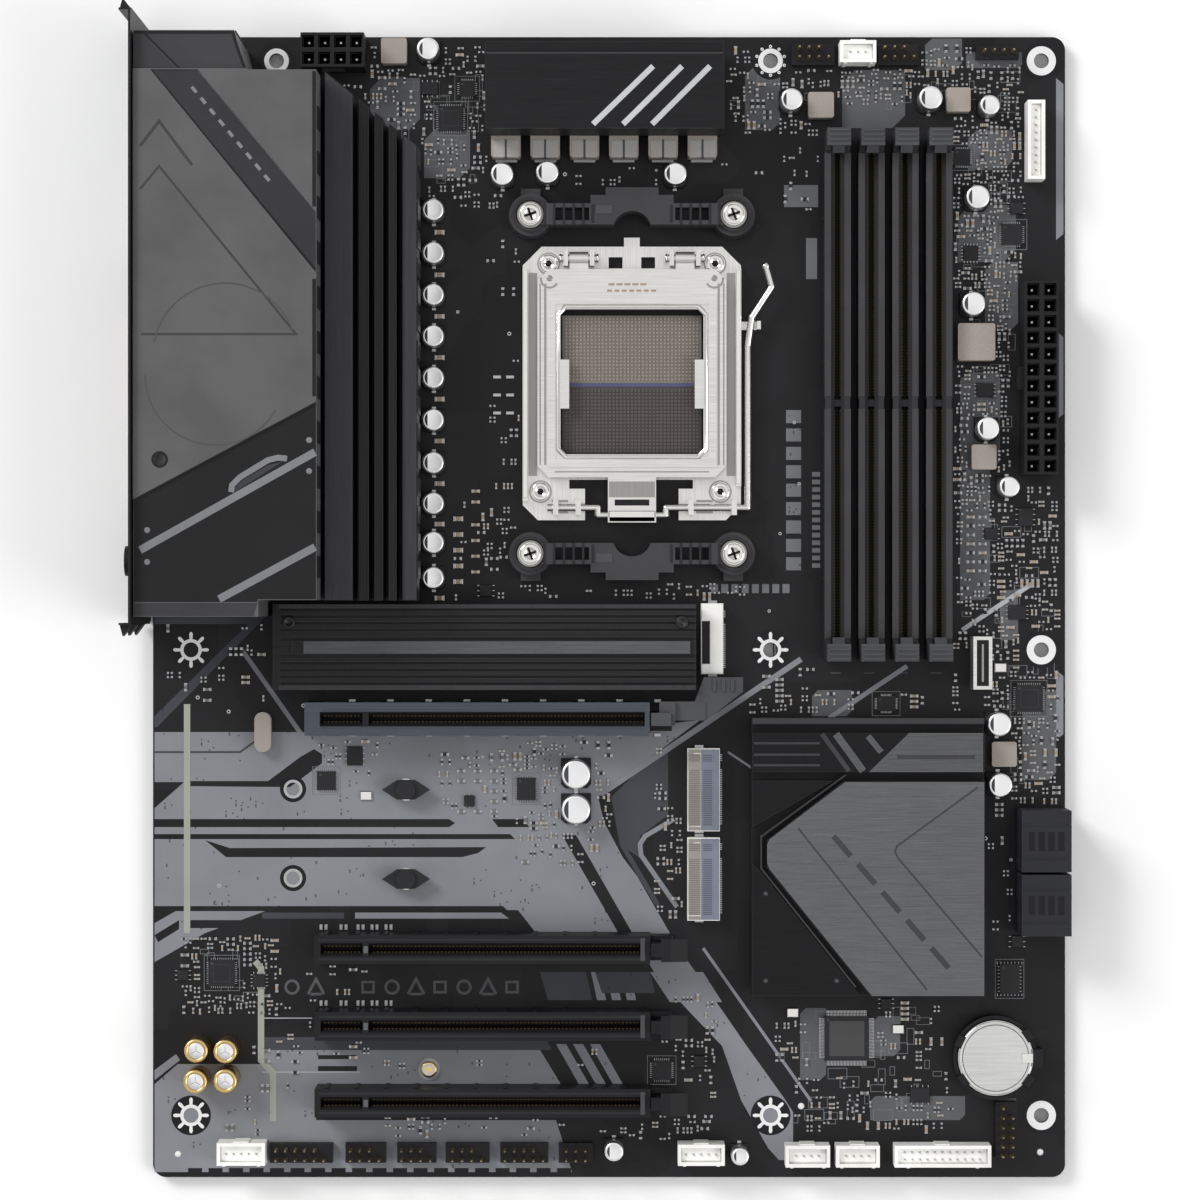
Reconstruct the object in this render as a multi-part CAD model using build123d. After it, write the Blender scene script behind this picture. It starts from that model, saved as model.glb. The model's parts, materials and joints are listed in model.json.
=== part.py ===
from build123d import *
import math
import os

os.makedirs("parts", exist_ok=True)

# A full-size desktop board, 304.8 x 243.84 mm.
# Frame: origin at the underside of the lower rear mounting hole, +X away from
# the rear connector edge, +Y along the long edge, +Z out of the component side.
# u and v below are distances from the board's lower rear corner.

# ---- driving dimensions (mm) ----
BOARD_W = 243.84
BOARD_H = 304.8
BOARD_T = 1.6
CORNER_R = 3.5
U0, V0 = 10.16, 16.51            # datum hole, measured from the board's corner
HOLE_R = 1.98                    # board mounting holes
HOLES = [(10.16, 16.51), (165.10, 16.51), (237.49, 16.51),
         (10.16, 140.97), (165.10, 140.97), (237.49, 140.97),
         (33.02, 298.45), (165.10, 298.45), (237.49, 298.45)]
BELOW = 2.0                      # backplate and tails below the board
SOCKET = (128.0, 211.6)          # processor socket centre
COOLER_DU, COOLER_DV = 54.0, 90.0
COOLER_HOLE_R = 2.1
DIMM_U0, DIMM_PITCH = 182.5, 8.97
DIMM_V = (138.4, 278.4)
DIMM_H = 9.0
DIMM_W = 6.5
PCIE_V = (122.8, 61.84, 41.52, 21.20)
PCIE_U = (44.0, 132.8)
PCIE_H = 11.2
PCIE_W = 7.5
M2_V = (103.74, 79.95)           # centre lines of the two open drive sockets
M2_LATCH_U = 67.8
M2_HOLE_U, M2_HOLE_R = 37.43, 1.75
SHROUD_TOP = 41.0
SHIELD_Z = (-1.5, 43.0)
SHIELD_V = (147.0, 307.4)
FIT = 0.05                       # radial running clearance
GAP = 0.3
T = BOARD_T


# ---- helpers ----
def bx(u0, u1, v0, v1, z0, z1):
    return Pos((u0 + u1) / 2 - U0, (v0 + v1) / 2 - V0, (z0 + z1) / 2) * Box(u1 - u0, v1 - v0, z1 - z0)


def cz(u, v, r, z0, z1):
    return Pos(u - U0, v - V0, (z0 + z1) / 2) * Cylinder(r, z1 - z0)


def cx(u0, u1, v, z, r):
    return Pos((u0 + u1) / 2 - U0, v - V0, z) * Rot(0, 90, 0) * Cylinder(r, u1 - u0)


def cy(u, v0, v1, z, r):
    return Pos(u - U0, (v0 + v1) / 2 - V0, z) * Rot(90, 0, 0) * Cylinder(r, v1 - v0)


def area(pts):
    return sum(a[0] * b[1] - b[0] * a[1] for a, b in zip(pts, pts[1:] + pts[:1])) / 2


def prism(pts, z0, z1):
    """A (u, v) outline extruded along Z."""
    pts = [(u - U0, v - V0) for u, v in pts]
    if area(pts) < 0:
        pts = pts[::-1]
    return Pos(0, 0, z0) * extrude(Polygon(*pts, align=None), amount=z1 - z0)


def prism_x(pts, u0, u1):
    """A (v, z) outline extruded along X."""
    pts = [(v - V0, z) for v, z in pts]
    if area(pts) < 0:
        pts = pts[::-1]
    return Plane(origin=(u0 - U0, 0, 0), x_dir=(0, 1, 0), z_dir=(1, 0, 0)) * extrude(Polygon(*pts, align=None), amount=u1 - u0)


def prism_y(pts, v0, v1):
    """A (u, z) outline extruded along Y."""
    pts = [(u - U0, -z) for u, z in pts]
    if area(pts) < 0:
        pts = pts[::-1]
    return Plane(origin=(0, v0 - V0, 0), x_dir=(1, 0, 0), z_dir=(0, 1, 0)) * extrude(Polygon(*pts, align=None), amount=v1 - v0)


def soft_box(u0, u1, v0, v1, z0, z1, r=0.3):
    """A box with its four upright edges rounded."""
    s = Pos((u0 + u1) / 2 - U0, (v0 + v1) / 2 - V0, z0) * extrude(RectangleRounded(u1 - u0, v1 - v0, r), amount=z1 - z0)
    return s


out = {}


def put(name, *solids):
    flat = []
    for s in solids:
        flat.extend(s if isinstance(s, (list, tuple)) else [s])
    out[name] = flat


# ---- the board ----
def make_pcb():
    plate = Pos(BOARD_W / 2 - U0, BOARD_H / 2 - V0, 0) * extrude(RectangleRounded(BOARD_W, BOARD_H, CORNER_R), amount=T)
    holes = [cz(u, v, HOLE_R, -1, T + 1) for u, v in HOLES]
    holes += [cz(SOCKET[0] + a * COOLER_DU / 2, SOCKET[1] + b * COOLER_DV / 2, COOLER_HOLE_R, -1, T + 1)
              for a in (-1, 1) for b in (-1, 1)]
    holes += [cz(M2_HOLE_U, v, M2_HOLE_R, -1, T + 1) for v in M2_V]
    return plate - holes


put("pcb", make_pcb())

# ---- processor socket ----
SU, SV = SOCKET
# plastic body with a sunken floor for the contacts
body = bx(SU - 23, SU + 23, SV - 22.6, SV + 22.6, T, T + 4.4)
body -= bx(SU - 19.6, SU + 19.6, SV - 19.6, SV + 19.6, T + 1.6, T + 5)
body -= bx(SU - 24, SU - 21, SV - 6, SV + 6, T + 3.2, T + 5)
body -= bx(SU + 21, SU + 24, SV - 6, SV + 6, T + 3.2, T + 5)
put("cpu_socket_body", body)
put("cpu_socket_contacts", bx(SU - 18.6, SU + 18.6, SV + 0.5, SV + 18.6, T + 1.6, T + 2.5),
    bx(SU - 18.6, SU + 18.6, SV - 18.6, SV - 0.5, T + 1.6, T + 2.5))

# steel frame that lies round the body and carries both hinges
FR_U = (SU - 29.1, SU + 29.1)
FR_V = (175.6, 248.6)
PL_HINGE_V, PL_HINGE_Z = 245.2, T + 5.2
LV_V, LV_Z = 178.9, T + 3.7
frame = prism([(FR_U[0], FR_V[0] + 4), (FR_U[0] + 4, FR_V[0]), (FR_U[1] - 4, FR_V[0]), (FR_U[1], FR_V[0] + 4),
               (FR_U[1], FR_V[1] - 5), (FR_U[1] - 5, FR_V[1]), (FR_U[0] + 5, FR_V[1]), (FR_U[0], FR_V[1] - 5)], T + 0.2, T + 1.8)
frame -= bx(SU - 23.4, SU + 23.4, SV - 23.0, SV + 23.0, T, T + 3)
# upturned side walls
frame += bx(FR_U[0], FR_U[0] + 1.4, FR_V[0] + 5, FR_V[1] - 6, T + 0.2, T + 4.6)
frame += bx(FR_U[1] - 1.4, FR_U[1], FR_V[0] + 9, FR_V[1] - 6, T + 0.2, T + 4.6)
# the lever turns under this slot
frame -= bx(SU - 12.5, SU + 12.5, LV_V - 4.2, 186.4, T, T + 3)
frame -= bx(SU - 16.7, SU + 16.3, 184.0, 186.4, T, T + 3)
# relief slots beside the stop tongue and under the hinge rolls
frame -= bx(SU - 6.2, SU - 2.5, 242.8, 245.8, T, T + 3)
frame -= bx(SU + 2.5, SU + 6.2, 242.8, 245.8, T, T + 3)
for a, b in ((111.4, 116.4), (139.6, 144.6)):
    frame -= bx(a + 0.2, b - 0.2, 244.0, 246.8, T, T + 3)
# ears for the load plate's hinge
PL_TABS = ((111.4, 116.4), (139.6, 144.6))
for a, b in PL_TABS:
    for u in (a - 1.6, b + 0.4):
        ear = bx(u, u + 1.2, PL_HINGE_V - 2.1, PL_HINGE_V + 2.1, T + 1.6, PL_HINGE_Z + 1.6)
        frame += ear
        frame -= cx(u - 0.5, u + 1.7, PL_HINGE_V, PL_HINGE_Z, 1.0 + FIT)
# ears for the lever's rod
LV_EARS = (SU - 21.0, SU - 15.0, SU + 15.0, SU + 26.5)
for u in LV_EARS:
    frame += bx(u, u + 1.4, LV_V - 2.0, LV_V + 2.0, T + 1.6, LV_Z + 2.0)
    frame -= cx(u - 0.5, u + 1.9, LV_V, LV_Z, 0.95 + FIT)
# hook that holds the closed lever
frame += bx(FR_U[1] - 0.2, FR_U[1] + 5.2, 226.4, 228.6, T + 0.2, T + 1.4)
frame += bx(FR_U[1] + 4.2, FR_U[1] + 5.2, 226.4, 228.6, T + 0.2, T + 4.4)
# stop tongue behind the hinge
frame += bx(SU - 2.1, SU + 2.1, FR_V[1] - 2.6, FR_V[1] + 2.4, T + 0.2, T + 1.8)
SOCKET_SCREWS = [(SU - 22.2, FR_V[1] - 4.6), (SU + 22.2, FR_V[1] - 4.6), (SU - 24.4, FR_V[0] + 7.6), (SU + 23.6, FR_V[0] + 7.6)]
for u, v in SOCKET_SCREWS:
    frame -= cz(u, v, 1.6, T, T + 3)
put("socket_frame", frame)
put("socket_screws", [cz(u, v, 2.6, T + 1.8, T + 2.9) + cz(u, v, 1.5, T + 0.1, T + 1.8) - cz(u, v, 0.9, T + 2.3, T + 3.2)
                      for u, v in SOCKET_SCREWS])

# load plate with its window, rolled hinge tabs and nose
PZ0, PZ1 = T + 4.7, T + 6.1
PU = (SU - 25.1, SU + 25.1)
PV = (186.9, 242.2)
plate = prism([(PU[0], PV[0] + 3), (PU[0] + 3, PV[0]), (PU[1] - 3, PV[0]), (PU[1], PV[0] + 3),
               (PU[1], PV[1] - 3), (PU[1] - 3, PV[1]), (PU[0] + 3, PV[1]), (PU[0], PV[1] - 3)], PZ0, PZ1)
win = Pos(SU - U0, SV + 0.7 - V0, PZ0 - 1) * extrude(RectangleRounded(38.0, 38.6, 2.2), amount=4)
plate -= win
plate += bx(SU - 19.4, SU - 16.7, SV - 6.4, SV + 6.6, PZ0, PZ1)
plate += bx(SU + 16.7, SU + 19.4, SV - 6.4, SV + 6.6, PZ0, PZ1)
# raised rim round the window
rim = bx(SU - 22.4, SU + 22.4, SV - 22.0, SV + 23.4, PZ1, PZ1 + 0.5)
rim -= bx(SU - 20.4, SU + 20.4, SV - 20.0, SV + 21.4, PZ1 - 1, PZ1 + 1)
plate += rim
for a, b in PL_TABS:
    plate += bx(a, b, PV[1] - 1, PL_HINGE_V, PL_HINGE_Z - 0.5, PL_HINGE_Z + 0.9)
    plate += cx(a - 2.4, b + 2.4, PL_HINGE_V, PL_HINGE_Z, 1.0)
    plate += cx(a, b, PL_HINGE_V, PL_HINGE_Z, 1.7)
# nose that reaches over the lever's rod
plate += bx(SU - 6.4, SU + 6.4, 176.2, PV[0] + 1, PZ0 + 0.3, PZ1)
plate += bx(SU - 6.4, SU + 6.4, 174.9, 176.3, PZ0 + 0.3, PZ1 + 0.5)
put("socket_load_plate", plate)

# wire lever: cranked rod under the nose, long arm and bent finger end
LR = 0.95
AU = 158.9
lever = cx(SU - 22.5, SU - 9.0, LV_V, LV_Z, LR) + cx(SU + 9.0, AU, LV_V, LV_Z, LR)
CR = 2.0
lever += Pos(SU - 9.0 - U0, LV_V - CR / 2 - V0, LV_Z) * Rot(90, 0, 0) * Cylinder(LR, CR)
lever += Pos(SU + 9.0 - U0, LV_V - CR / 2 - V0, LV_Z) * Rot(90, 0, 0) * Cylinder(LR, CR)
lever += cx(SU - 9.0, SU + 9.0, LV_V - CR, LV_Z, LR)
for du, dv in ((-9.0, 0), (9.0, 0), (-9.0, -CR), (9.0, -CR)):
    lever += Pos(SU + du - U0, LV_V + dv - V0, LV_Z) * Sphere(LR)
pts = [(AU, LV_V, LV_Z), (AU, 222.0, LV_Z), (AU + 1.0, 229.5, LV_Z + 0.6), (165.2, 237.6, LV_Z + 1.6), (163.6, 243.0, LV_Z + 2.2)]
for (a, b, c), (d, e, f) in zip(pts, pts[1:]):
    p, q = Vector(a - U0, b - V0, c), Vector(d - U0, e - V0, f)
    mid, way = (p + q) * 0.5, (q - p)
    lever += Plane(origin=mid, z_dir=way.normalized()) * Cylinder(LR, way.length)
for a, b, c in pts:
    lever += Pos(a - U0, b - V0, c) * Sphere(LR)
put("socket_lever", lever)

# backplate and the cooler's brackets
BZ = (-BELOW, -0.1)
bplate = Pos(SU - U0, SV - V0, BZ[0]) * extrude(RectangleRounded(66.0, 102.0, 6.0), amount=BZ[1] - BZ[0])
bplate -= Pos(SU - U0, SV - V0, BZ[0] - 1) * extrude(RectangleRounded(34.0, 34.0, 3.0), amount=5)
bplate -= bx(SU - 12, SU + 12, SV + 24, SV + 38, -5, 2)
bplate -= bx(SU - 12, SU + 12, SV - 38, SV - 24, -5, 2)
CH = [(SU + a * COOLER_DU / 2, SV + b * COOLER_DV / 2) for a in (-1, 1) for b in (-1, 1)]
for u, v in CH:
    bplate += cz(u, v, COOLER_HOLE_R - 0.15, BZ[1] - 0.5, T - 0.1)
for u, v in CH:
    bplate -= cz(u, v, 1.5, BZ[0] - 1, T + 1)
put("socket_backplate", bplate)


def bracket(sign):
    """One plastic cooler bracket: sign is +1 above the socket and -1 below."""
    v = SV + sign * COOLER_DV / 2
    h = 9.4
    b = bx(SU - 27, SU + 27, v - 2.8, v + 2.8, T, T + h)
    for u in (SU - 27, SU + 27):
        b += cz(u, v, 5.6, T, T + h - 2.6)
        b += cz(u, v, 4.6, T, T + h - 1.6)
        b += bx(u - 2.6, u + 2.6, min(v, v + sign * 7.2), max(v, v + sign * 7.2), T, T + 4.0)
    # hooked tab that the cooler's clip catches, in the middle of the outer side
    b += bx(SU - 11, SU + 11, min(v, v + sign * 5.0), max(v, v + sign * 5.0), T + 3.0, T + h)
    b += bx(SU - 7, SU + 7, min(v + sign * 4.8, v + sign * 7.0), max(v + sign * 4.8, v + sign * 7.0), T + h - 3.4, T + h)
    # arched relief on the socket side
    b -= cz(SU, v - sign * 4.4, 5.2, T - 1, T + h + 1)
    # lightening pockets
    for u in (SU - 16, SU + 16):
        b -= bx(u - 4.6, u + 4.6, v - 1.7, v + 1.7, T + 3.2, T + h + 1)
    for u in (SU - 27, SU + 27):
        b -= cz(u, v, 1.9, T - 1, T + h + 1)
        b -= cz(u, v, 4.0, T + h - 2.6, T + h + 1)
    return b


put("cooler_bracket_upper", bracket(1))
put("cooler_bracket_lower", bracket(-1))
SCREW_SEAT = T + 9.4 - 2.6
put("cooler_bracket_screws", [cz(u, v, 2.95, SCREW_SEAT, SCREW_SEAT + 2.3) + cz(u, v, 1.42, -1.5, SCREW_SEAT)
                              - bx(u - 2.0, u + 2.0, v - 0.35, v + 0.35, SCREW_SEAT + 1.1, SCREW_SEAT + 3)
                              - bx(u - 0.35, u + 0.35, v - 2.0, v + 2.0, SCREW_SEAT + 1.1, SCREW_SEAT + 3)
                              for u, v in CH])

# ---- memory slots ----
LAT_V = 2.6                      # latch pivot, in from the slot's end
LAT_Z = T + 3.5


def dimm_slot(uc):
    v0, v1 = DIMM_V
    w = DIMM_W / 2
    s = bx(uc - w, uc + w, v0 + 5.0, v1 - 5.0, T, T + DIMM_H)
    s -= bx(uc - 0.9, uc + 0.9, v0 + 3.0, v1 - 3.0, T + 2.0, T + 12)
    key_v = 206.6
    s += bx(uc - 1.2, uc + 1.2, key_v - 0.9, key_v + 0.9, T + 1.5, T + 7.0)
    # chamfered lead-in on both rails
    s -= prism_y([(uc - 1.9, T + DIMM_H + 0.1), (uc + 1.9, T + DIMM_H + 0.1), (uc + 0.9, T + DIMM_H - 1.2), (uc - 0.9, T + DIMM_H - 1.2)], v0 + 5.0, v1 - 5.0)
    for e, d in ((v0, 1), (v1, -1)):
        a, b = sorted((e, e + d * 5.05))
        for side in (-1, 1):
            u0, u1 = sorted((uc + side * 1.85, uc + side * w))
            s += bx(u0, u1, a, b, T, T + 10.4)
        s -= cx(uc - w - 1, uc + w + 1, e + d * LAT_V, LAT_Z, 1.0 + FIT)
    return s


def dimm_latch(uc, e, d):
    """Ejector latch at slot end e; d points from the end towards the slot."""
    p = e + d * LAT_V
    prof = [(p - d * 1.9, LAT_Z - 0.2), (p - d * 1.0, LAT_Z - 1.8), (p + d * 1.2, LAT_Z - 1.6), (p + d * 1.9, LAT_Z + 0.2),
            (p + d * 1.5, T + 8.6), (p + d * 1.5, T + 10.8), (p + d * 3.4, T + 11.6), (p + d * 3.4, T + 12.6),
            (p + d * 1.6, T + 14.6), (p - d * 1.6, T + 14.6), (p - d * 2.2, T + 8.0)]
    lat = prism_x(prof, uc - 1.55, uc + 1.55)
    lat += bx(uc - 3.1, uc + 3.1, min(p - d * 2.9, p + d * 1.7), max(p - d * 2.9, p + d * 1.7), T + 12.4, T + 15.4)
    lat += cx(uc - 3.1, uc + 3.1, p, LAT_Z, 1.0)
    # finger ridges
    for k in range(3):
        vv = p - d * (2.3 - 1.3 * k)
        lat += bx(uc - 2.7, uc + 2.7, vv - 0.25, vv + 0.25, T + 15.3, T + 15.8)
    return lat


put("dimm_slots", [dimm_slot(DIMM_U0 + i * DIMM_PITCH) for i in range(4)])
for i in range(4):
    uc = DIMM_U0 + i * DIMM_PITCH
    put("dimm_latch_%d_upper" % (i + 1), dimm_latch(uc, DIMM_V[1], -1))
    put("dimm_latch_%d_lower" % (i + 1), dimm_latch(uc, DIMM_V[0], 1))

# ---- expansion slots ----
PL_U = 136.2
PL_Z = T + 3.2


def pcie_slot(vc):
    u0, u1 = PCIE_U
    w = PCIE_W / 2
    s = bx(u0, u1, vc - w, vc + w, T, T + PCIE_H)
    s -= bx(u0 + 1.6, 56.7, vc - 0.95, vc + 0.95, T + 3.0, T + 14)
    s -= bx(58.3, u1 - 1.6, vc - 0.95, vc + 0.95, T + 3.0, T + 14)
    s -= prism_x([(vc - 1.8, T + PCIE_H + 0.1), (vc + 1.8, T + PCIE_H + 0.1), (vc + 0.95, T + PCIE_H - 1.0), (vc - 0.95, T + PCIE_H - 1.0)], u0 + 1.6, 56.7)
    s -= prism_x([(vc - 1.8, T + PCIE_H + 0.1), (vc + 1.8, T + PCIE_H + 0.1), (vc + 0.95, T + PCIE_H - 1.0), (vc - 0.95, T + PCIE_H - 1.0)], 58.3, u1 - 1.6)
    # ears for the retaining latch
    for side in (-1, 1):
        v0, v1 = sorted((vc + side * 2.0, vc + side * 3.3))
        s += bx(u1 - 0.1, 138.6, v0, v1, T, T + 6.0)
    s -= cy(PL_U, vc - 4, vc + 4, PL_Z, 1.0 + FIT)
    return s


def pcie_latch(vc, long_arm=False):
    prof = [(134.6, PL_Z - 0.6), (135.2, PL_Z - 1.7), (137.0, PL_Z - 1.7), (137.9, PL_Z - 0.4), (138.2, T + 9.0),
            (138.2, T + 14.2), (135.4, T + 14.2), (133.0, T + 13.2), (133.0, T + 12.3), (134.6, T + 12.1)]
    s = prism_y(prof, vc - 1.7, vc + 1.7)
    s += cy(PL_U, vc - 3.2, vc + 3.2, PL_Z, 1.0)
    if long_arm:
        s += bx(137.8, 147.4, vc - 0.4, vc + 4.6, T + 7.6, T + 9.6)
        s += bx(135.2, 139.4, vc - 1.7, vc + 4.6, T + 7.6, T + 11.0)
        s += prism([(144.6, vc - 0.4), (147.6, vc - 0.4), (157.4, vc + 7.2), (157.4, vc + 11.0), (147.0, vc + 11.0), (144.6, vc + 4.6)], T + 7.6, T + 9.2)
        for k in range(3):
            s += bx(149.4 + 2.4 * k, 150.2 + 2.4 * k, vc + 7.4, vc + 10.6, T + 9.1, T + 9.7)
    else:
        s += prism_y([(138.0, T + 9.6), (142.6, T + 11.6), (142.6, T + 13.2), (138.0, T + 14.2)], vc - 3.0, vc + 3.0)
        s += bx(135.6, 138.1, vc - 3.0, vc + 3.0, T + 12.2, T + 14.2)
    return s


put("pcie_slot_1", pcie_slot(PCIE_V[0]))
put("pcie_slots_2_to_4", [pcie_slot(v) for v in PCIE_V[1:]])
v = PCIE_V[0]
arm = bx(41.4, 132.6, v - 4.4, v + 4.4, T, T + 11.8)
arm -= bx(43.4, 134, v - 3.85, v + 3.85, T - 1, T + 11.3)
arm -= bx(45.4, 131.4, v - 1.95, v + 1.95, T + 10, T + 13)
put("pcie_slot_armour", arm)
put("pcie_latch_1", pcie_latch(PCIE_V[0], True))
for i, v in enumerate(PCIE_V[1:]):
    put("pcie_latch_%d" % (i + 2), pcie_latch(v))

# ---- drive sockets, rotating latches and their posts ----
m2 = []
for v in M2_V:
    c = bx(142.8, 151.4, v - 11.0, v + 11.0, T, T + 4.2)
    c -= bx(142.0, 146.9, v - 10.0, v + 10.0, T + 1.5, T + 2.7)
    c -= bx(142.0, 144.4, v - 10.0, v + 10.0, T + 1.5, T + 5)
    m2.append(c)
c = bx(146.4, 152.3, 134.6, 153.4, T, T + 5.2)
c -= bx(145.0, 149.6, 135.6, 152.4, T + 1.5, T + 3.0)
m2.append(c)
put("m2_sockets", m2)
posts = []
for v in M2_V:
    posts.append(cz(M2_LATCH_U, v, 2.9, T, T + 2.4) + cz(M2_LATCH_U, v, 1.0, T + 2.3, T + 4.6))
put("m2_posts", posts)
for i, v in enumerate(M2_V):
    lat = prism([(M2_LATCH_U - 6.4, v), (M2_LATCH_U - 2.4, v + 2.6), (M2_LATCH_U + 2.4, v + 2.6), (M2_LATCH_U + 6.4, v),
                 (M2_LATCH_U + 2.4, v - 2.6), (M2_LATCH_U - 2.4, v - 2.6)], T + 2.7, T + 4.0)
    lat += cz(M2_LATCH_U, v, 2.5, T + 2.7, T + 4.9)
    lat -= cz(M2_LATCH_U, v, 1.0 + FIT, T + 2, T + 4.65)
    put("m2_latch_%d" % (i + 1), lat)

# ---- heatsinks ----
# rear power heatsink: a slab beside long fins, with a raised underside over the chokes
VL_TOP = T + 26.0
vl = prism([(47.8, 154.2), (71.7, 154.2), (71.7, 272.8), (47.8, 292.0)], T + 2.2, VL_TOP)
vl -= bx(57.4, 73, 150, 300, T, T + 8.3)
vl -= bx(67.6, 73, 150, 300, T, T + 9.2)
for u in (55.9, 60.0, 63.7, 67.2):
    vl -= bx(u - 0.75, u + 0.75, 150, 300, T + 11.0, T + 30)
vl -= bx(68.0, 73, 150, 300, T + 24.6, T + 30)
vl -= bx(55.9, 68.0, 150, 300, T + 25.2, T + 30)
put("vrm_heatsink_rear", vl)

VT = (89.5, 151.9, 277.4, 300.4)
vt = bx(VT[0], VT[1], VT[2], VT[3], T + 2.2, T + 24.0)
vt -= bx(VT[0] - 1, VT[1] + 1, VT[2] - 1, 287.6, T, T + 8.3)
vt -= bx(VT[0] - 1, VT[1] + 1, 297.2, VT[3] + 1, T + 22.4, T + 30)
for k in range(5):
    z = T + 10.5 + 2.6 * k
    vt -= bx(VT[0] - 1, VT[1] + 1, VT[2] - 1, VT[2] + 4.5, z, z + 1.3)
put("vrm_heatsink_top", vt)

# drive heatsink: plate with a long rib, folded sides and two feet
M2H = (33.0, 144.9, 130.5, 153.2)
mh = bx(M2H[0], M2H[1], M2H[2], M2H[3], T + 6.2, T + 11.4)
mh -= bx(M2H[0] + 2, M2H[1] + 1, 139.0, 140.0, T + 10.6, T + 12)
mh -= bx(M2H[0] + 2, M2H[1] + 1, 143.5, 144.5, T + 10.6, T + 12)
mh += bx(38.0, 143.4, 140.0, 143.5, T + 11.3, T + 12.0)
for k in range(4):
    vv = 131.8 + 1.8 * k
    mh -= bx(M2H[0] + 2, M2H[1] + 1, vv, vv + 0.8, T + 10.4, T + 12)
for k in range(4):
    vv = 146.0 + 1.8 * k
    mh -= bx(M2H[0] + 2, M2H[1] + 1, vv, vv + 0.8, T + 10.4, T + 12)
for u in (34.6, 130.5):
    mh += bx(u, u + 4.6, 131.5, 134.5, T, T + 6.3)
    mh += bx(u, u + 4.6, 149.2, 152.2, T, T + 6.3)
put("m2_heatsink", mh)

# chipset heatsink: base, upper band and a raised, cornered plate
CS = (159.7, 221.3, 49.4, 123.1)
cs = bx(CS[0], CS[1], CS[2], CS[3], T + 2.7, T + 7.6)
cs += bx(CS[0], CS[1], 108.8, 119.0, T + 7.5, T + 10.8)
cs += bx(CS[0], CS[1], 121.4, CS[3], T + 7.5, T + 9.8)
cs += prism([(184.0, 106.4), (CS[1], 106.4), (CS[1], CS[2]), (191.2, CS[2]), (163.6, 83.6), (163.6, 90.8)], T + 7.5, T + 11.4)
cs += prism([(CS[0], CS[2]), (188.4, CS[2]), (161.8, 82.6), (CS[0], 84.6)], T + 7.5, T + 9.4)
cs += prism([(CS[0], 94.0), (181.4, 106.4), (CS[0], 106.4)], T + 7.5, T + 9.4)
CS_SCREWS = [(163.4, 76.5), (163.4, 53.4), (182.2, 53.4), (164.4, 103.6)]
for u, v in CS_SCREWS[:3]:
    cs -= cz(u, v, 0.7, T + 8.8, T + 10)
put("chipset_heatsink", cs)
CHIP = (190.5, 86.3)
put("chipset", bx(CHIP[0] - 11, CHIP[0] + 11, CHIP[1] - 11, CHIP[1] + 11, T, T + 1.2) + bx(CHIP[0] - 4.5, CHIP[0] + 4.5, CHIP[1] - 4, CHIP[1] + 4, T + 1.2, T + 2.0))
put("thermal_pads", bx(49.0, 56.6, 157.0, 285.0, T + 1.2, T + 2.2), bx(92.0, 149.4, 288.4, 298.0, T + 1.2, T + 2.2),
    bx(41.0, 128.0, 131.6, 152.2, T + 5.0, T + 6.2), bx(CHIP[0] - 6, CHIP[0] + 6, CHIP[1] - 6, CHIP[1] + 6, T + 2.0, T + 2.7))
# screws and spring pins that come up from behind the board
SINK_SCREWS = [(52.6, 160.0), (52.6, 220.0), (52.6, 282.0), (93.5, 299.0), (148.0, 299.0), (168.0, 56.5), (213.0, 116.0), (213.0, 56.5), (168.0, 116.0), (42.0, 132.9), (132.8, 150.7)]
put("heatsink_screws", [cz(u, v, 2.7, -1.7, -0.02) - cz(u, v, 1.3, -3, -1.0) for u, v in SINK_SCREWS])

# power stages and chokes under the two power heatsinks
stages = [bx(50.0, 55.6, 160.6 + 8.9 * k, 165.6 + 8.9 * k, T, T + 1.2) for k in range(14)]
stages += [bx(93.4 + 8.2 * k, 98.4 + 8.2 * k, 289.6, 295.4, T, T + 1.2) for k in range(7)]
put("power_stages", stages)
chokes = [soft_box(58.4, 66.8, 158.4 + 11.2 * k, 166.8 + 11.2 * k, T, T + 7.6, 0.7) for k in range(10)]
chokes += [soft_box(90.6 + 10.44 * k, 98.4 + 10.44 * k, 271.9, 280.6, T, T + 7.6, 0.7) for k in range(6)]
put("power_chokes", chokes)

# ---- rear connector group ----
# cover over the rear connectors, open towards the shield and below
SB = SHROUD_TOP
sh_pts = [(-0.5, 150.0), (31.6, 150.0), (31.6, 154.3), (46.6, 154.3), (46.6, 290.6), (28.7, 290.6), (26.8, 296.0), (25.4, 300.9), (-0.5, 300.9)]
sh = prism(sh_pts, T + 0.3, SB)
inner = [(-2.0, 151.4), (30.2, 151.4), (30.2, 155.7), (45.2, 155.7), (45.2, 289.2), (27.4, 289.2), (25.2, 295.0), (24.0, 299.5), (-2.0, 299.5)]
sh -= prism(inner, T, SB - 2.4)
# lower rear corner block, step and slanted recesses of the top panel
sh -= prism([(-2, 290.9), (30, 290.9), (30, 302), (-2, 302)], SB - 1.2, SB + 1)
sh -= prism([(-2, 149), (31.7, 149), (31.7, 153.6), (-2, 153.6)], SB - 1.2, SB + 1)
sh -= prism([(3.9, 290.7), (16.2, 290.7), (46.7, 254.0), (46.7, 238.2)], SB - 0.5, SB + 1)
sh -= prism([(-2, 179.4), (46.7, 205.4), (46.7, 153.6), (-2, 153.6)], SB - 0.9, SB + 1)
sh -= cz(6.4, 190.4, 1.5, SB - 4, SB + 1)
put("io_shroud", sh)

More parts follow.
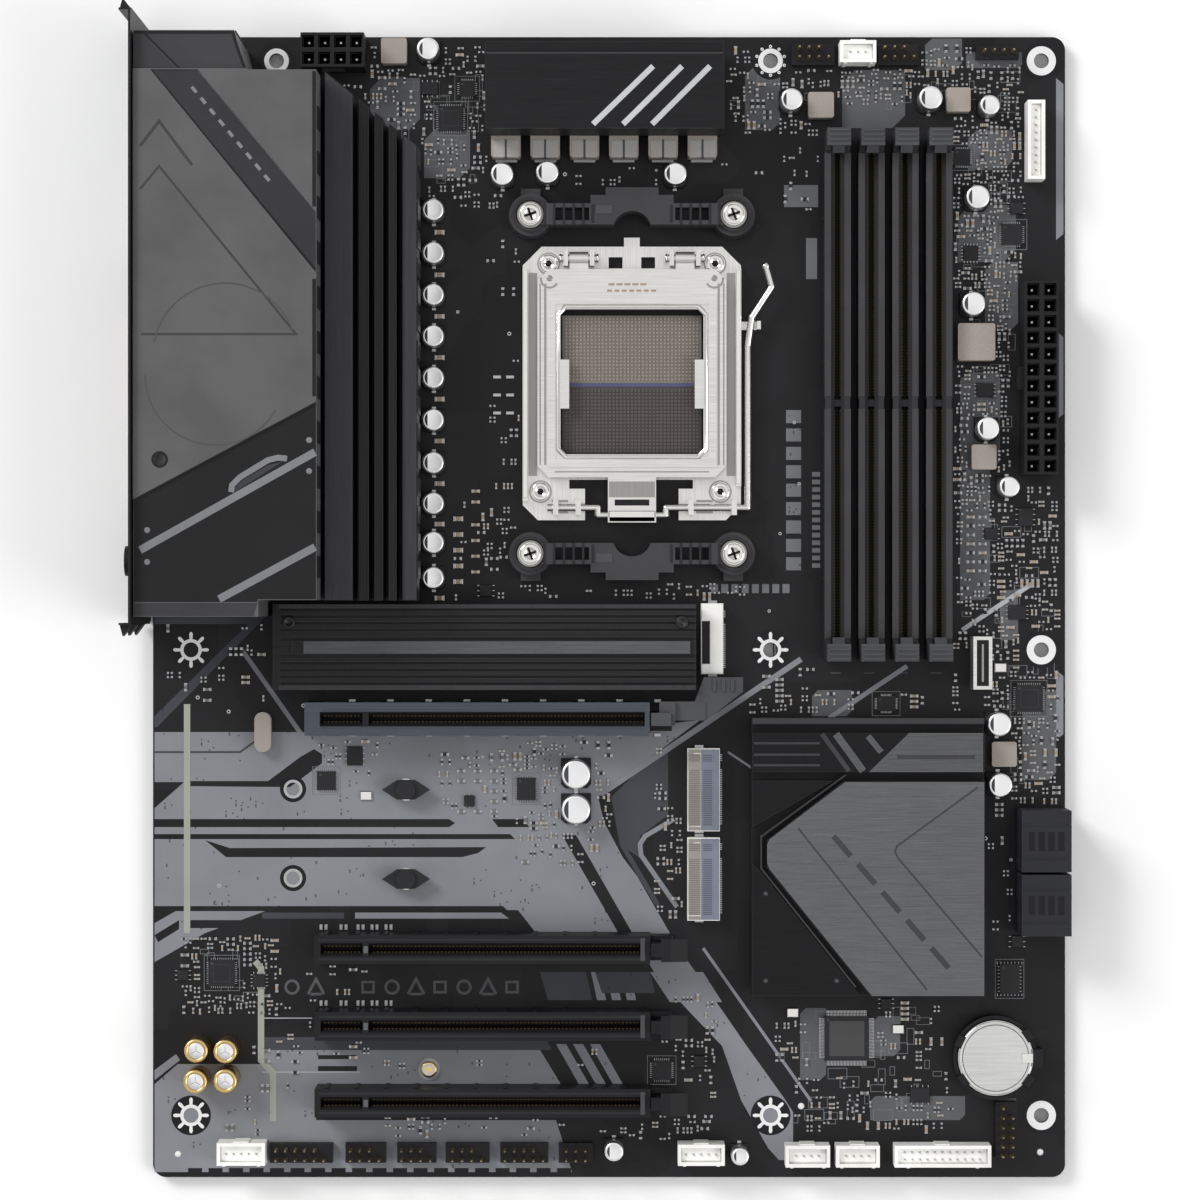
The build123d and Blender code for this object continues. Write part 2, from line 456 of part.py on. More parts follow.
# ports: name, v0, v1, z1 and the cut-out they need in the shield
PORT_U0 = -2.4
PORTS = {
    "usb_a": (284.4, 298.6, T + 15.8),
    "usb_b": (267.0, 281.2, T + 15.8),
    "video": (247.4, 264.0, T + 15.6),
    "usb_c": (219.6, 233.8, T + 15.8),
    "usb_d": (202.0, 216.2, T + 15.8),
    "lan": (181.6, 198.2, T + 27.6),
    "audio": (157.4, 171.4, T + 36.0),
}
BTN_V, BTN_Z = 240.4, T + 6.6


usb = []
tongues = []
for key in ("usb_a", "usb_b", "usb_c", "usb_d"):
    v0, v1, z1 = PORTS[key]
    s = bx(PORT_U0, 15.2, v0, v1, T, z1)
    for z in (T + 1.5, T + 9.1):
        s -= bx(PORT_U0 - 1, 9.6, v0 + 0.9, v1 - 0.9, z, z + 5.3)
        tongues.append(bx(PORT_U0 + 0.9, 9.6, v0 + 1.5, v1 - 1.5, z + 3.0, z + 4.7))
    usb.append(s)
put("rear_usb_ports", usb)
v0, v1, z1 = PORTS["video"]
vid = bx(PORT_U0, 13.6, v0, v1, T, z1)
vid -= prism_x([(v0 + 1.1, T + 6.6), (v1 - 1.1, T + 6.6), (v1 - 1.1, T + 4.0), (v1 - 2.7, T + 1.9), (v0 + 2.7, T + 1.9), (v0 + 1.1, T + 4.0)], PORT_U0 - 1, 8.6)
vid -= prism_x([(v0 + 0.7, T + 14.2), (v1 - 0.7, T + 14.2), (v1 - 0.7, T + 9.6), (v0 + 2.3, T + 9.6), (v0 + 0.7, T + 11.2)], PORT_U0 - 1, 8.6)
tongues.append(bx(PORT_U0 + 0.9, 8.6, v0 + 3.4, v1 - 3.4, T + 3.6, T + 4.8))
tongues.append(bx(PORT_U0 + 0.9, 8.6, v0 + 3.2, v1 - 3.2, T + 11.2, T + 12.6))
put("rear_video_ports", vid)
v0, v1, z1 = PORTS["lan"]
lan = bx(PORT_U0, 19.0, v0, v1, T, z1)
for z in (T + 1.5, ):
    lan -= bx(PORT_U0 - 1, 9.6, v0 + 1.6, v1 - 1.6, z, z + 5.3)
    tongues.append(bx(PORT_U0 + 0.9, 9.6, v0 + 2.2, v1 - 2.2, z + 3.0, z + 4.7))
lan -= bx(PORT_U0 - 1, 9.6, v0 + 1.6, v1 - 1.6, T + 8.0, T + 13.2)
tongues.append(bx(PORT_U0 + 0.9, 9.6, v0 + 2.2, v1 - 2.2, T + 10.9, T + 12.6))
lan -= bx(PORT_U0 - 1, 11.0, v0 + 2.2, v1 - 2.2, T + 14.6, T + 22.6)
lan -= bx(PORT_U0 - 1, 11.0, v0 + 5.2, v1 - 5.2, T + 22.5, T + 25.2)
put("rear_lan_port", lan)
v0, v1, z1 = PORTS["audio"]
aud = []
for k in range(3):
    z = T + 12.0 * k
    j = bx(-0.9, 11.6, v0, v1, z + (0.02 if k else 0), z + 11.98)
    j += cx(PORT_U0 - 1.1, -0.8, (v0 + v1) / 2, z + 6.2, 3.9)
    j -= cx(PORT_U0 - 2, 10.6, (v0 + v1) / 2, z + 6.2, 1.85)
    aud.append(j)
put("rear_audio_jacks", aud)
# firmware button: switch body stays, cap travels
tongues.append(bx(2.2, 8.2, BTN_V - 3.0, BTN_V + 3.0, T, BTN_Z + 3.0))
put("rear_port_inserts", tongues)
put("firmware_button", cx(PORT_U0 - 0.4, 1.1, BTN_V, BTN_Z, 1.75) + cx(0.1, 1.1, BTN_V, BTN_Z, 2.2))

# shield: thin plate with a cut-out for each port and sprung end tabs
sd = bx(-1.5, -0.9, SHIELD_V[0] + 1.4, SHIELD_V[1] - 1.4, SHIELD_Z[0], SHIELD_Z[1])
for key, (a, b, z) in PORTS.items():
    if key == "audio":
        for k in range(3):
            sd -= cx(-3, 1, (a + b) / 2, T + 12.0 * k + 6.2, 4.1)
    else:
        sd -= bx(-3, 1, a - 0.2, b + 0.2, T - 0.2, z + 0.2)
sd -= cx(-3, 1, BTN_V, BTN_Z, 1.95)
for k in range(18):
    a = 205.0 + 4.9 * k
    if a < 290:
        sd -= bx(-3, 1, a, a + 3.4, 31.0, 33.0)
        sd -= bx(-3, 1, a, a + 3.4, 35.4, 37.4)
# folded flanges at both ends and along the top
sd += bx(-4.2, -0.9, SHIELD_V[0] + 0.9, SHIELD_V[0] + 1.4, SHIELD_Z[0] + 2, SHIELD_Z[1] - 2)
sd += bx(-4.2, -0.9, SHIELD_V[1] - 1.4, SHIELD_V[1] - 0.9, SHIELD_Z[0] + 2, SHIELD_Z[1] - 2)
for z in (8.0, 22.0, 34.0):
    sd += prism([(-4.2, SHIELD_V[1] - 1.0), (-1.2, SHIELD_V[1] - 1.0), (-3.4, SHIELD_V[1] + 2.0)], z, z + 5.0)
    sd += prism([(-4.2, SHIELD_V[0] + 1.0), (-1.2, SHIELD_V[0] + 1.0), (-3.4, SHIELD_V[0] - 2.0)], z, z + 5.0)
put("io_shield", sd)

# ---- power and drive connectors ----


def minifit(u0, u1, v0, v1, nu, nv, clip):
    """Pocketed power connector with square cells; clip is the latch ridge's box."""
    s = bx(u0, u1, v0, v1, T, T + 12.8)
    pu, pv = (u1 - u0) / nu, (v1 - v0) / nv
    for i in range(nu):
        for j in range(nv):
            a, b = u0 + pu * (i + 0.5), v0 + pv * (j + 0.5)
            s -= bx(a - 1.65, a + 1.65, b - 1.65, b + 1.65, T + 2.5, T + 20)
    s += bx(*clip)
    return s


put("atx_power_24pin", minifit(231.6, 240.6, 187.6, 238.4, 2, 12, (230.2, 231.7, 210.0, 216.0, T + 6.0, T + 10.0)))
put("cpu_power_8pin", minifit(40.4, 57.2, 295.2, 304.0, 4, 2, (45.9, 51.7, 294.2, 295.3, T + 6.0, T + 10.0)))

sata = []
for v0 in (65.7, 82.6):
    s = bx(230.6, 243.7, v0, v0 + 16.2, T, T + 15.2)
    for z in (T + 2.0, T + 9.2):
        s -= bx(236.6, 245, v0 + 1.6, v0 + 14.6, z, z + 3.6)
        s += bx(236.5, 243.0, v0 + 3.4, v0 + 12.8, z, z + 1.2)
    sata.append(s)
put("sata_ports", sata)
# upright internal front-panel port: steel shell with a narrow mouth
tc = bx(218.4, 223.4, 130.6, 144.6, T, T + 9.6)
tc -= bx(219.3, 222.5, 131.5, 143.7, T + 3.0, T + 12)
put("usb_front_header", tc + bx(220.5, 221.3, 133.0, 142.2, T + 2.9, T + 8.6))

# ---- battery in its ring ----
BAT = (224.8, 32.4)
put("battery", cz(BAT[0], BAT[1], 10.0, T + 1.6, T + 4.8))
hold = cz(BAT[0], BAT[1], 11.2, T, T + 4.0) - cz(BAT[0], BAT[1], 10.3, T + 1.6, T + 8)
hold += bx(BAT[0] + 9.9, BAT[0] + 12.4, BAT[1] - 2.4, BAT[1] + 2.4, T, T + 5.6)
hold -= cz(BAT[0], BAT[1], 10.3, T + 1.6, T + 4.9)
put("battery_holder", hold)

# ---- round capacitors ----


def can(u, v, r, h):
    return cz(u, v, r - 0.25, T + 0.9, T + h) + bx(u - r, u + r, v - r, v + r, T, T + 0.9) - cz(u, v, r - 1.0, T + h - 0.15, T + h + 1)


CAPS = [(75.1, v, 3.1, 6.6) for v in (258.0, 246.6, 235.5, 224.5, 213.4, 202.2, 190.8, 180.0, 169.6, 160.2)]
for u, v, d in ((73.8, 300.6, 6.2), (93.5, 267.4, 6.4), (105.5, 267.9, 6.4), (139.5, 267.5, 6.4), (170.4, 287.2, 6.2), (207.3, 287.6, 6.6),
                (223.0, 285.7, 5.6), (219.8, 261.3, 6.6), (218.7, 233.0, 6.6), (222.6, 199.9, 6.4), (228.2, 184.4, 5.8), (225.5, 121.3, 6.6),
                (225.8, 105.1, 6.6), (113.1, 108.0, 8.0), (113.1, 98.6, 8.0), (123.2, 7.9, 5.4), (156.7, 6.6, 5.0)):
    CAPS.append((u, v, d / 2, 7.6))
AUDIO_CAPS = [(12.6, 35.0), (20.3, 34.8), (12.4, 26.8), (20.3, 27.0)]
put("capacitors", [can(*c) for c in CAPS],
    [cz(u, v, 3.15, T, T + 10.6) - cz(u, v, 2.2, T + 10.4, T + 12) for u, v in AUDIO_CAPS])

# ---- small inductors, crystal ----
IND = [(219.7, 223.0, 9.9, 5.0), (221.8, 192.4, 6.6, 4.0), (178.4, 286.2, 6.8, 4.0), (215.0, 287.6, 6.4, 4.0), (227.2, 113.2, 6.6, 4.0),
       (64.6, 300.6, 6.8, 4.2)]
put("inductors_and_crystal", [soft_box(u - d / 2, u + d / 2, v - d / 2, v + d / 2, T, T + h, 0.6) for u, v, d, h in IND],
    soft_box(27.4, 31.8, 113.8, 124.4, T + 0.1, T + 3.6, 2.1))

# ---- chips ----
CHIPS = [(185.4, 37.2, 11.8, 11.8, 1.5), (18.4, 54.6, 7.0, 7.0, 1.1), (79.6, 283.0, 6.6, 6.6, 1.0), (84.0, 291.0, 4.2, 4.2, 0.9),
         (234.2, 128.0, 7.2, 7.2, 1.2), (229.0, 53.0, 5.2, 8.0, 1.3), (136.0, 28.6, 5.2, 5.2, 0.9), (196.0, 126.6, 5.0, 4.0, 0.9),
         (216.2, 272.6, 4.4, 4.4, 0.9), (229.6, 252.0, 5.6, 5.6, 0.9), (46.4, 106.0, 5.0, 5.0, 0.9), (99.8, 103.8, 5.0, 6.0, 1.0)]
put("controller_chips", [bx(u - a / 2, u + a / 2, v - b / 2, v + b / 2, T, T + h) for u, v, a, b, h in CHIPS])

# ---- headers along the edges ----


def open_header(u0, u1, v0, v1, h=8.6, wall=0.9, floor=2.2, gap_side=None):
    s = bx(u0, u1, v0, v1, T, T + h) - bx(u0 + wall, u1 - wall, v0 + wall, v1 - wall, T + floor, T + h + 2)
    if gap_side is not None:
        m, w = (u0 + u1) / 2, min(4.5, (u1 - u0) * 0.3)
        s -= bx(m - w / 2, m + w / 2, min(gap_side, gap_side + 0), gap_side + 3.0, T + floor, T + h + 2)
    return s


def pin_row(u0, u1, v0, v1, h=2.5):
    return bx(u0, u1, v0, v1, T, T + h)


BLACK = [pin_row(170.6, 182.0, 297.0, 302.6), pin_row(193.6, 204.4, 297.0, 302.6), pin_row(219.8, 231.2, 298.6, 302.0),
         pin_row(31.4, 48.2, 4.2, 9.4), pin_row(51.6, 62.4, 4.2, 9.4), pin_row(65.4, 75.8, 4.2, 9.4), pin_row(78.3, 90.0, 4.2, 9.4),
         pin_row(92.9, 105.7, 4.2, 9.4), pin_row(108.5, 117.6, 4.2, 9.4),
         pin_row(225.0, 230.6, 5.4, 20.4)]
put("pin_headers", BLACK)
WHITE = [open_header(183.2, 192.8, 297.0, 302.8, 8.0), open_header(233.0, 237.6, 266.0, 287.0, 8.0),
         open_header(17.8, 30.6, 4.2, 10.2, 8.0), open_header(140.2, 152.6, 4.2, 9.8, 8.0), open_header(168.8, 180.6, 3.6, 9.4, 7.0),
         open_header(182.2, 193.8, 3.6, 9.4, 7.0), open_header(197.8, 223.4, 3.6, 9.4, 7.0)]
put("white_headers", WHITE)

# ---- tails of the soldered connectors below the board ----
TAILS = [(6.0, 160.0), (6.0, 290.0), (17.0, 190.0), (17.0, 275.0), (50.0, 122.8), (128.0, 122.8), (50.0, 21.2), (128.0, 21.2), (50.0, 61.84),
         (128.0, 61.84), (182.5, 142.0), (209.4, 142.0), (182.5, 275.0), (209.4, 275.0), (236.0, 191.0), (236.0, 235.0), (236.0, 70.0), (236.0, 95.0),
         (44.0, 299.6), (53.5, 299.6), (24.0, 6.6), (217.0, 6.0)]
put("connector_tails", [cz(u, v, 0.9, -BELOW, -0.02) for u, v in TAILS])

# ---- write ----
for name, solids in out.items():
    flat = []
    for s in solids:
        flat.extend(s.solids())
    shape = flat[0] if len(flat) == 1 else Compound(children=flat)
    export_step(shape, "parts/%s.step" % name)
print(len(out), "nodes")
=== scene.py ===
import json
import math
import random

import bpy
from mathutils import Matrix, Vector


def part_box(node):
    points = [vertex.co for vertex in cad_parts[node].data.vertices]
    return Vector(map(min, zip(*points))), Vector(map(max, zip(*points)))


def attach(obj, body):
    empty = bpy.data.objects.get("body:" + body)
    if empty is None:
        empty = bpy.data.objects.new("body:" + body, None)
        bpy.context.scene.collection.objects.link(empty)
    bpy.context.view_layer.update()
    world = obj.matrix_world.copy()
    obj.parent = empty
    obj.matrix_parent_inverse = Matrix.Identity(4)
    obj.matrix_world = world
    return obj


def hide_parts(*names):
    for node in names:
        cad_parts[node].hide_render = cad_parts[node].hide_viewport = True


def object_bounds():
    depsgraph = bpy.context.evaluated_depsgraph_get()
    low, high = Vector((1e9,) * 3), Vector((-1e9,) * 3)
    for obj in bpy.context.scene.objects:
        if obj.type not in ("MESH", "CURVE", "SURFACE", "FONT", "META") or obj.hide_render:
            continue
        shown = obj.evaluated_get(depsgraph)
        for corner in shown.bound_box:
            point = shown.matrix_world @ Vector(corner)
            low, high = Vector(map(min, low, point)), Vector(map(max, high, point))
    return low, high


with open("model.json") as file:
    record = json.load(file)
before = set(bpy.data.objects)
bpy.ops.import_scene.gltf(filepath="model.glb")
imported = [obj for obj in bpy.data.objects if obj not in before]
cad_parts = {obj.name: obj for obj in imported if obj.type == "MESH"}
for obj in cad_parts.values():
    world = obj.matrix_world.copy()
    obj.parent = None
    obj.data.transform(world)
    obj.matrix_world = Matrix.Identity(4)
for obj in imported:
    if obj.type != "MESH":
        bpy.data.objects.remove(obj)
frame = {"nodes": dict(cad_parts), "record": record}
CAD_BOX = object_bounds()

rnd = random.Random(4107)
NODES = frame["nodes"]
RECORD = frame["record"]
SLOTS = {m["slot"]: m for m in RECORD["materials"]}
U0, V0, T = 10.16, 16.51, 1.6


def box_mm(node):
    """A CAD node's box as u0, u1, v0, v1, z0, z1 in millimetres from the board's corner."""
    lo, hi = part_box(node)
    return (lo.x * 1000 + U0, hi.x * 1000 + U0, lo.y * 1000 + V0, hi.y * 1000 + V0, lo.z * 1000, hi.z * 1000)


# ------------------------------------------------------------------ materials
class Nodes:
    """Short names for building a node tree."""

    def __init__(self, name):
        self.m = bpy.data.materials.new(name)
        self.m.use_nodes = True
        self.t = self.m.node_tree
        self.t.nodes.clear()
        self.out = self.t.nodes.new("ShaderNodeOutputMaterial")
        self.b = self.t.nodes.new("ShaderNodeBsdfPrincipled")
        self.t.links.new(self.b.outputs[0], self.out.inputs[0])
        self.tc = self.t.nodes.new("ShaderNodeTexCoord")

    def link(self, a, b):
        self.t.links.new(a, b)

    def mapping(self, scale=(1, 1, 1), rot=(0, 0, 0)):
        n = self.t.nodes.new("ShaderNodeMapping")
        n.inputs["Scale"].default_value = scale
        n.inputs["Rotation"].default_value = rot
        self.link(self.tc.outputs["Object"], n.inputs["Vector"])
        return n.outputs[0]

    def noise(self, scale, detail=2.0, rough=0.5, vec=None, distortion=0.0):
        n = self.t.nodes.new("ShaderNodeTexNoise")
        n.inputs["Scale"].default_value = scale
        n.inputs["Detail"].default_value = detail
        n.inputs["Roughness"].default_value = rough
        n.inputs["Distortion"].default_value = distortion
        self.link(vec if vec is not None else self.tc.outputs["Object"], n.inputs["Vector"])
        return n.outputs["Fac"]

    def voronoi(self, scale, feature="F1", vec=None):
        n = self.t.nodes.new("ShaderNodeTexVoronoi")
        n.feature = feature
        n.inputs["Scale"].default_value = scale
        self.link(vec if vec is not None else self.tc.outputs["Object"], n.inputs["Vector"])
        return n

    def ramp(self, fac, stops):
        n = self.t.nodes.new("ShaderNodeValToRGB")
        e = n.color_ramp.elements
        while len(e) > 1:
            e.remove(e[-1])
        e[0].position, e[0].color = stops[0][0], _c(stops[0][1])
        for p, c in stops[1:]:
            k = e.new(p)
            k.color = _c(c)
        self.link(fac, n.inputs[0])
        return n.outputs[0]

    def math(self, op, a, b=0.0, clamp=False):
        n = self.t.nodes.new("ShaderNodeMath")
        n.operation = op
        n.use_clamp = clamp
        for k, x in enumerate((a, b)):
            if isinstance(x, (int, float)):
                n.inputs[k].default_value = x
            else:
                self.link(x, n.inputs[k])
        return n.outputs[0]

    def range(self, fac, lo, hi, a=0.0, b=1.0):
        n = self.t.nodes.new("ShaderNodeMapRange")
        for k, x in zip(("From Min", "From Max", "To Min", "To Max"), (a, b, lo, hi)):
            n.inputs[k].default_value = x
        self.link(fac, n.inputs["Value"])
        return n.outputs[0]

    def mix(self, fac, a, b, blend="MIX"):
        n = self.t.nodes.new("ShaderNodeMix")
        n.data_type = "RGBA"
        n.blend_type = blend
        if isinstance(fac, (int, float)):
            n.inputs[0].default_value = fac
        else:
            self.link(fac, n.inputs[0])
        for k, x in ((6, a), (7, b)):
            if isinstance(x, (tuple, list)):
                n.inputs[k].default_value = _c(x)
            else:
                self.link(x, n.inputs[k])
        return n.outputs[2]

    def bump(self, height, strength, distance, normal=None):
        n = self.t.nodes.new("ShaderNodeBump")
        n.inputs["Strength"].default_value = strength
        n.inputs["Distance"].default_value = distance
        self.link(height, n.inputs["Height"])
        if normal is not None:
            self.link(normal, n.inputs["Normal"])
        return n.outputs[0]

    def edge(self, radius, samples=4):
        """1 on worn edges, 0 on flats."""
        bv = self.t.nodes.new("ShaderNodeBevel")
        bv.samples = samples
        bv.inputs["Radius"].default_value = radius
        g = self.t.nodes.new("ShaderNodeNewGeometry")
        d = self.t.nodes.new("ShaderNodeVectorMath")
        d.operation = "DOT_PRODUCT"
        self.link(bv.outputs[0], d.inputs[0])
        self.link(g.outputs["Normal"], d.inputs[1])
        return self.range(d.outputs["Value"], 1.0, 0.0, 0.80, 0.995)

    def set(self, **kw):
        names = {"color": "Base Color", "rough": "Roughness", "metal": "Metallic", "normal": "Normal", "coat": "Coat Weight",
                 "coat_rough": "Coat Roughness", "ior": "IOR", "spec": "Specular IOR Level", "aniso": "Anisotropic"}
        for k, v in kw.items():
            s = self.b.inputs[names[k]]
            if isinstance(v, (int, float)):
                s.default_value = v
            elif isinstance(v, (tuple, list)):
                s.default_value = _c(v)
            else:
                self.link(v, s)
        return self.m


def _c(c):
    if isinstance(c, (int, float)):
        return (c, c, c, 1.0)
    return (c[0], c[1], c[2], 1.0) if len(c) == 3 else tuple(c)


def tint(c, k):
    return tuple(min(1.0, x * k) for x in c[:3])


def moulded(name, col, rough=0.45, grain=2600.0, bump=0.12, wear=0.35, edge_r=0.00018):
    """Moulded plastic: fine pebble grain, flow mottling, paler rubbed edges."""
    n = Nodes(name)
    big = n.noise(45.0, 3.0, 0.6)
    fine = n.noise(grain, 3.0, 0.65)
    base = n.mix(n.range(big, 0.0, 1.0, 0.35, 0.65), tint(col, 0.88), tint(col, 1.12))
    base = n.mix(n.range(fine, 0.0, 0.35, 0.45, 0.75), base, tint(col, 1.35))
    e = n.edge(edge_r)
    base = n.mix(n.math("MULTIPLY", e, wear), base, tuple(min(1.0, x * 1.6 + 0.03) for x in col[:3]))
    r = n.range(fine, rough - 0.07, rough + 0.09)
    n.b.inputs["Specular IOR Level"].default_value = 0.22 if max(col) < 0.2 else 0.4
    return n.set(color=base, rough=n.math("ADD", r, n.math("MULTIPLY", n.noise(160.0), 0.05)), normal=n.bump(fine, bump, 0.00004))


def brushed(name, col, rough=0.3, along="x", metal=1.0, bump=0.10, wear=0.4, streak=0.16, edge_r=0.00025):
    """Brushed or rolled metal: streaks along one axis, faint blotches, bright edges."""
    n = Nodes(name)
    sc = {"x": (60, 5200, 5200), "y": (5200, 60, 5200), "z": (5200, 5200, 60)}[along]
    st = n.noise(1.0, 4.0, 0.7, n.mapping(sc))
    bl = n.noise(70.0, 3.0, 0.6)
    base = n.mix(n.range(st, 0.0, 1.0, 0.3, 0.7), tint(col, 1 - streak), tint(col, 1 + streak))
    base = n.mix(n.range(bl, 0.0, 0.25, 0.5, 0.8), base, tint(col, 0.8))
    e = n.edge(edge_r)
    base = n.mix(n.math("MULTIPLY", e, wear), base, tuple(min(1.0, x * 1.3 + 0.06) for x in col[:3]))
    return n.set(color=base, metal=metal, rough=n.range(st, rough - 0.06, rough + 0.10, 0.25, 0.75), normal=n.bump(st, bump, 0.00002))


def plated(name, col, rough=0.16, wear=0.3):
    """Bright plated metal with a slight orange peel and handling haze."""
    n = Nodes(name)
    peel = n.noise(900.0, 2.0, 0.5)
    haze = n.noise(120.0, 4.0, 0.6)
    base = n.mix(n.range(haze, 0.0, 0.5, 0.4, 0.8), col, tint(col, 0.86))
    base = n.mix(n.math("MULTIPLY", n.edge(0.0001), wear), base, tint(col, 1.15))
    return n.set(color=base, metal=1.0, rough=n.range(haze, rough - 0.04, rough + 0.08, 0.3, 0.7), normal=n.bump(peel, 0.05, 0.00003))


def anodised(name, col, rough=0.42, along="x", streak=0.22):
    """Dark anodised and painted aluminium with fine brushing and pale worn edges."""
    n = Nodes(name)
    sc = {"x": (90, 4200, 4200), "y": (4200, 90, 4200)}[along]
    st = n.noise(1.0, 3.0, 0.7, n.mapping(sc))
    sp = n.noise(3400.0, 2.0, 0.6)
    bl = n.noise(28.0, 3.0, 0.55)
    base = n.mix(n.range(st, 0.0, 1.0, 0.3, 0.7), tint(col, 1 - streak), tint(col, 1 + streak))
    base = n.mix(n.range(sp, 0.0, 0.4, 0.55, 0.8), base, tint(col, 1.7))
    base = n.mix(n.range(bl, 0.0, 0.3, 0.5, 0.75), base, tint(col, 0.72))
    e = n.edge(0.00028)
    base = n.mix(n.math("MULTIPLY", e, 0.5), base, tuple(min(1.0, x * 2.0 + 0.06) for x in col[:3]))
    return n.set(color=base, metal=0.35, spec=0.2, rough=n.range(sp, rough - 0.06, rough + 0.1), normal=n.bump(n.math("ADD", n.math("MULTIPLY", st, 0.5), sp), 0.10, 0.00003))


def solder_mask(name, col):
    """Satin solder mask over copper: faint weave, pour boundaries and buried tracks."""
    n = Nodes(name)
    weave = n.t.nodes.new("ShaderNodeTexBrick")
    weave.inputs["Scale"].default_value = 1400.0
    weave.inputs["Mortar Size"].default_value = 0.06
    n.link(n.tc.outputs["Object"], weave.inputs["Vector"])
    pour = n.voronoi(58.0, "F1", n.mapping((1, 1, 0.001)))
    pour.distance = "CHEBYCHEV"
    cell = n.t.nodes.new("ShaderNodeSeparateColor")
    n.link(pour.outputs["Color"], cell.inputs[0])
    big = n.noise(22.0, 3.0, 0.6)
    base = n.mix(n.range(cell.outputs[0], 0.0, 1.0, 0.35, 0.65), tint(col, 0.85), tint(col, 1.22))
    base = n.mix(n.range(big, 0.0, 0.5, 0.4, 0.75), base, tint(col, 1.35))
    dust = n.noise(5200.0, 2.0, 0.5)
    base = n.mix(n.range(dust, 0.0, 0.3, 0.6, 0.8), base, tint(col, 1.8))
    h = n.math("ADD", n.math("MULTIPLY", weave.outputs["Fac"], 0.3), n.math("MULTIPLY", cell.outputs[0], 0.8))
    return n.set(color=base, rough=n.range(big, 0.34, 0.46, 0.3, 0.7), normal=n.bump(n.math("ADD", h, n.math("MULTIPLY", dust, 0.3)), 0.12, 0.00004), spec=0.2)


def ink(name, col, rough=0.5):
    """Printed ink: slight mottling and screen grain, a little proud of the mask."""
    n = Nodes(name)
    big = n.noise(36.0, 3.0, 0.6)
    fine = n.noise(4200.0, 2.0, 0.6)
    base = n.mix(n.range(big, 0.0, 1.0, 0.3, 0.7), tint(col, 0.9), tint(col, 1.1))
    base = n.mix(n.range(fine, 0.0, 0.5, 0.5, 0.8), base, tint(col, 0.78))
    return n.set(color=base, rough=n.range(fine, rough - 0.06, rough + 0.1), normal=n.bump(fine, 0.12, 0.00002), spec=0.2)


def speckled(name, col, rough=0.6, speck=1.7):
    """Pressed ferrite and moulded epoxy: a grainy body with paler specks."""
    n = Nodes(name)
    fine = n.noise(5200.0, 3.0, 0.7)
    vor = n.voronoi(2600.0)
    base = n.mix(n.range(fine, 0.0, 1.0, 0.35, 0.65), tint(col, 0.82), tint(col, 1.15))
    base = n.mix(n.range(vor.outputs["Distance"], 0.5, 0.0, 0.0, 0.22), base, tint(col, speck))
    base = n.mix(n.math("MULTIPLY", n.edge(0.00012), 0.3), base, tint(col, 1.8))
    return n.set(color=base, rough=n.range(fine, rough - 0.08, rough + 0.1), normal=n.bump(fine, 0.2, 0.00003), spec=0.25)


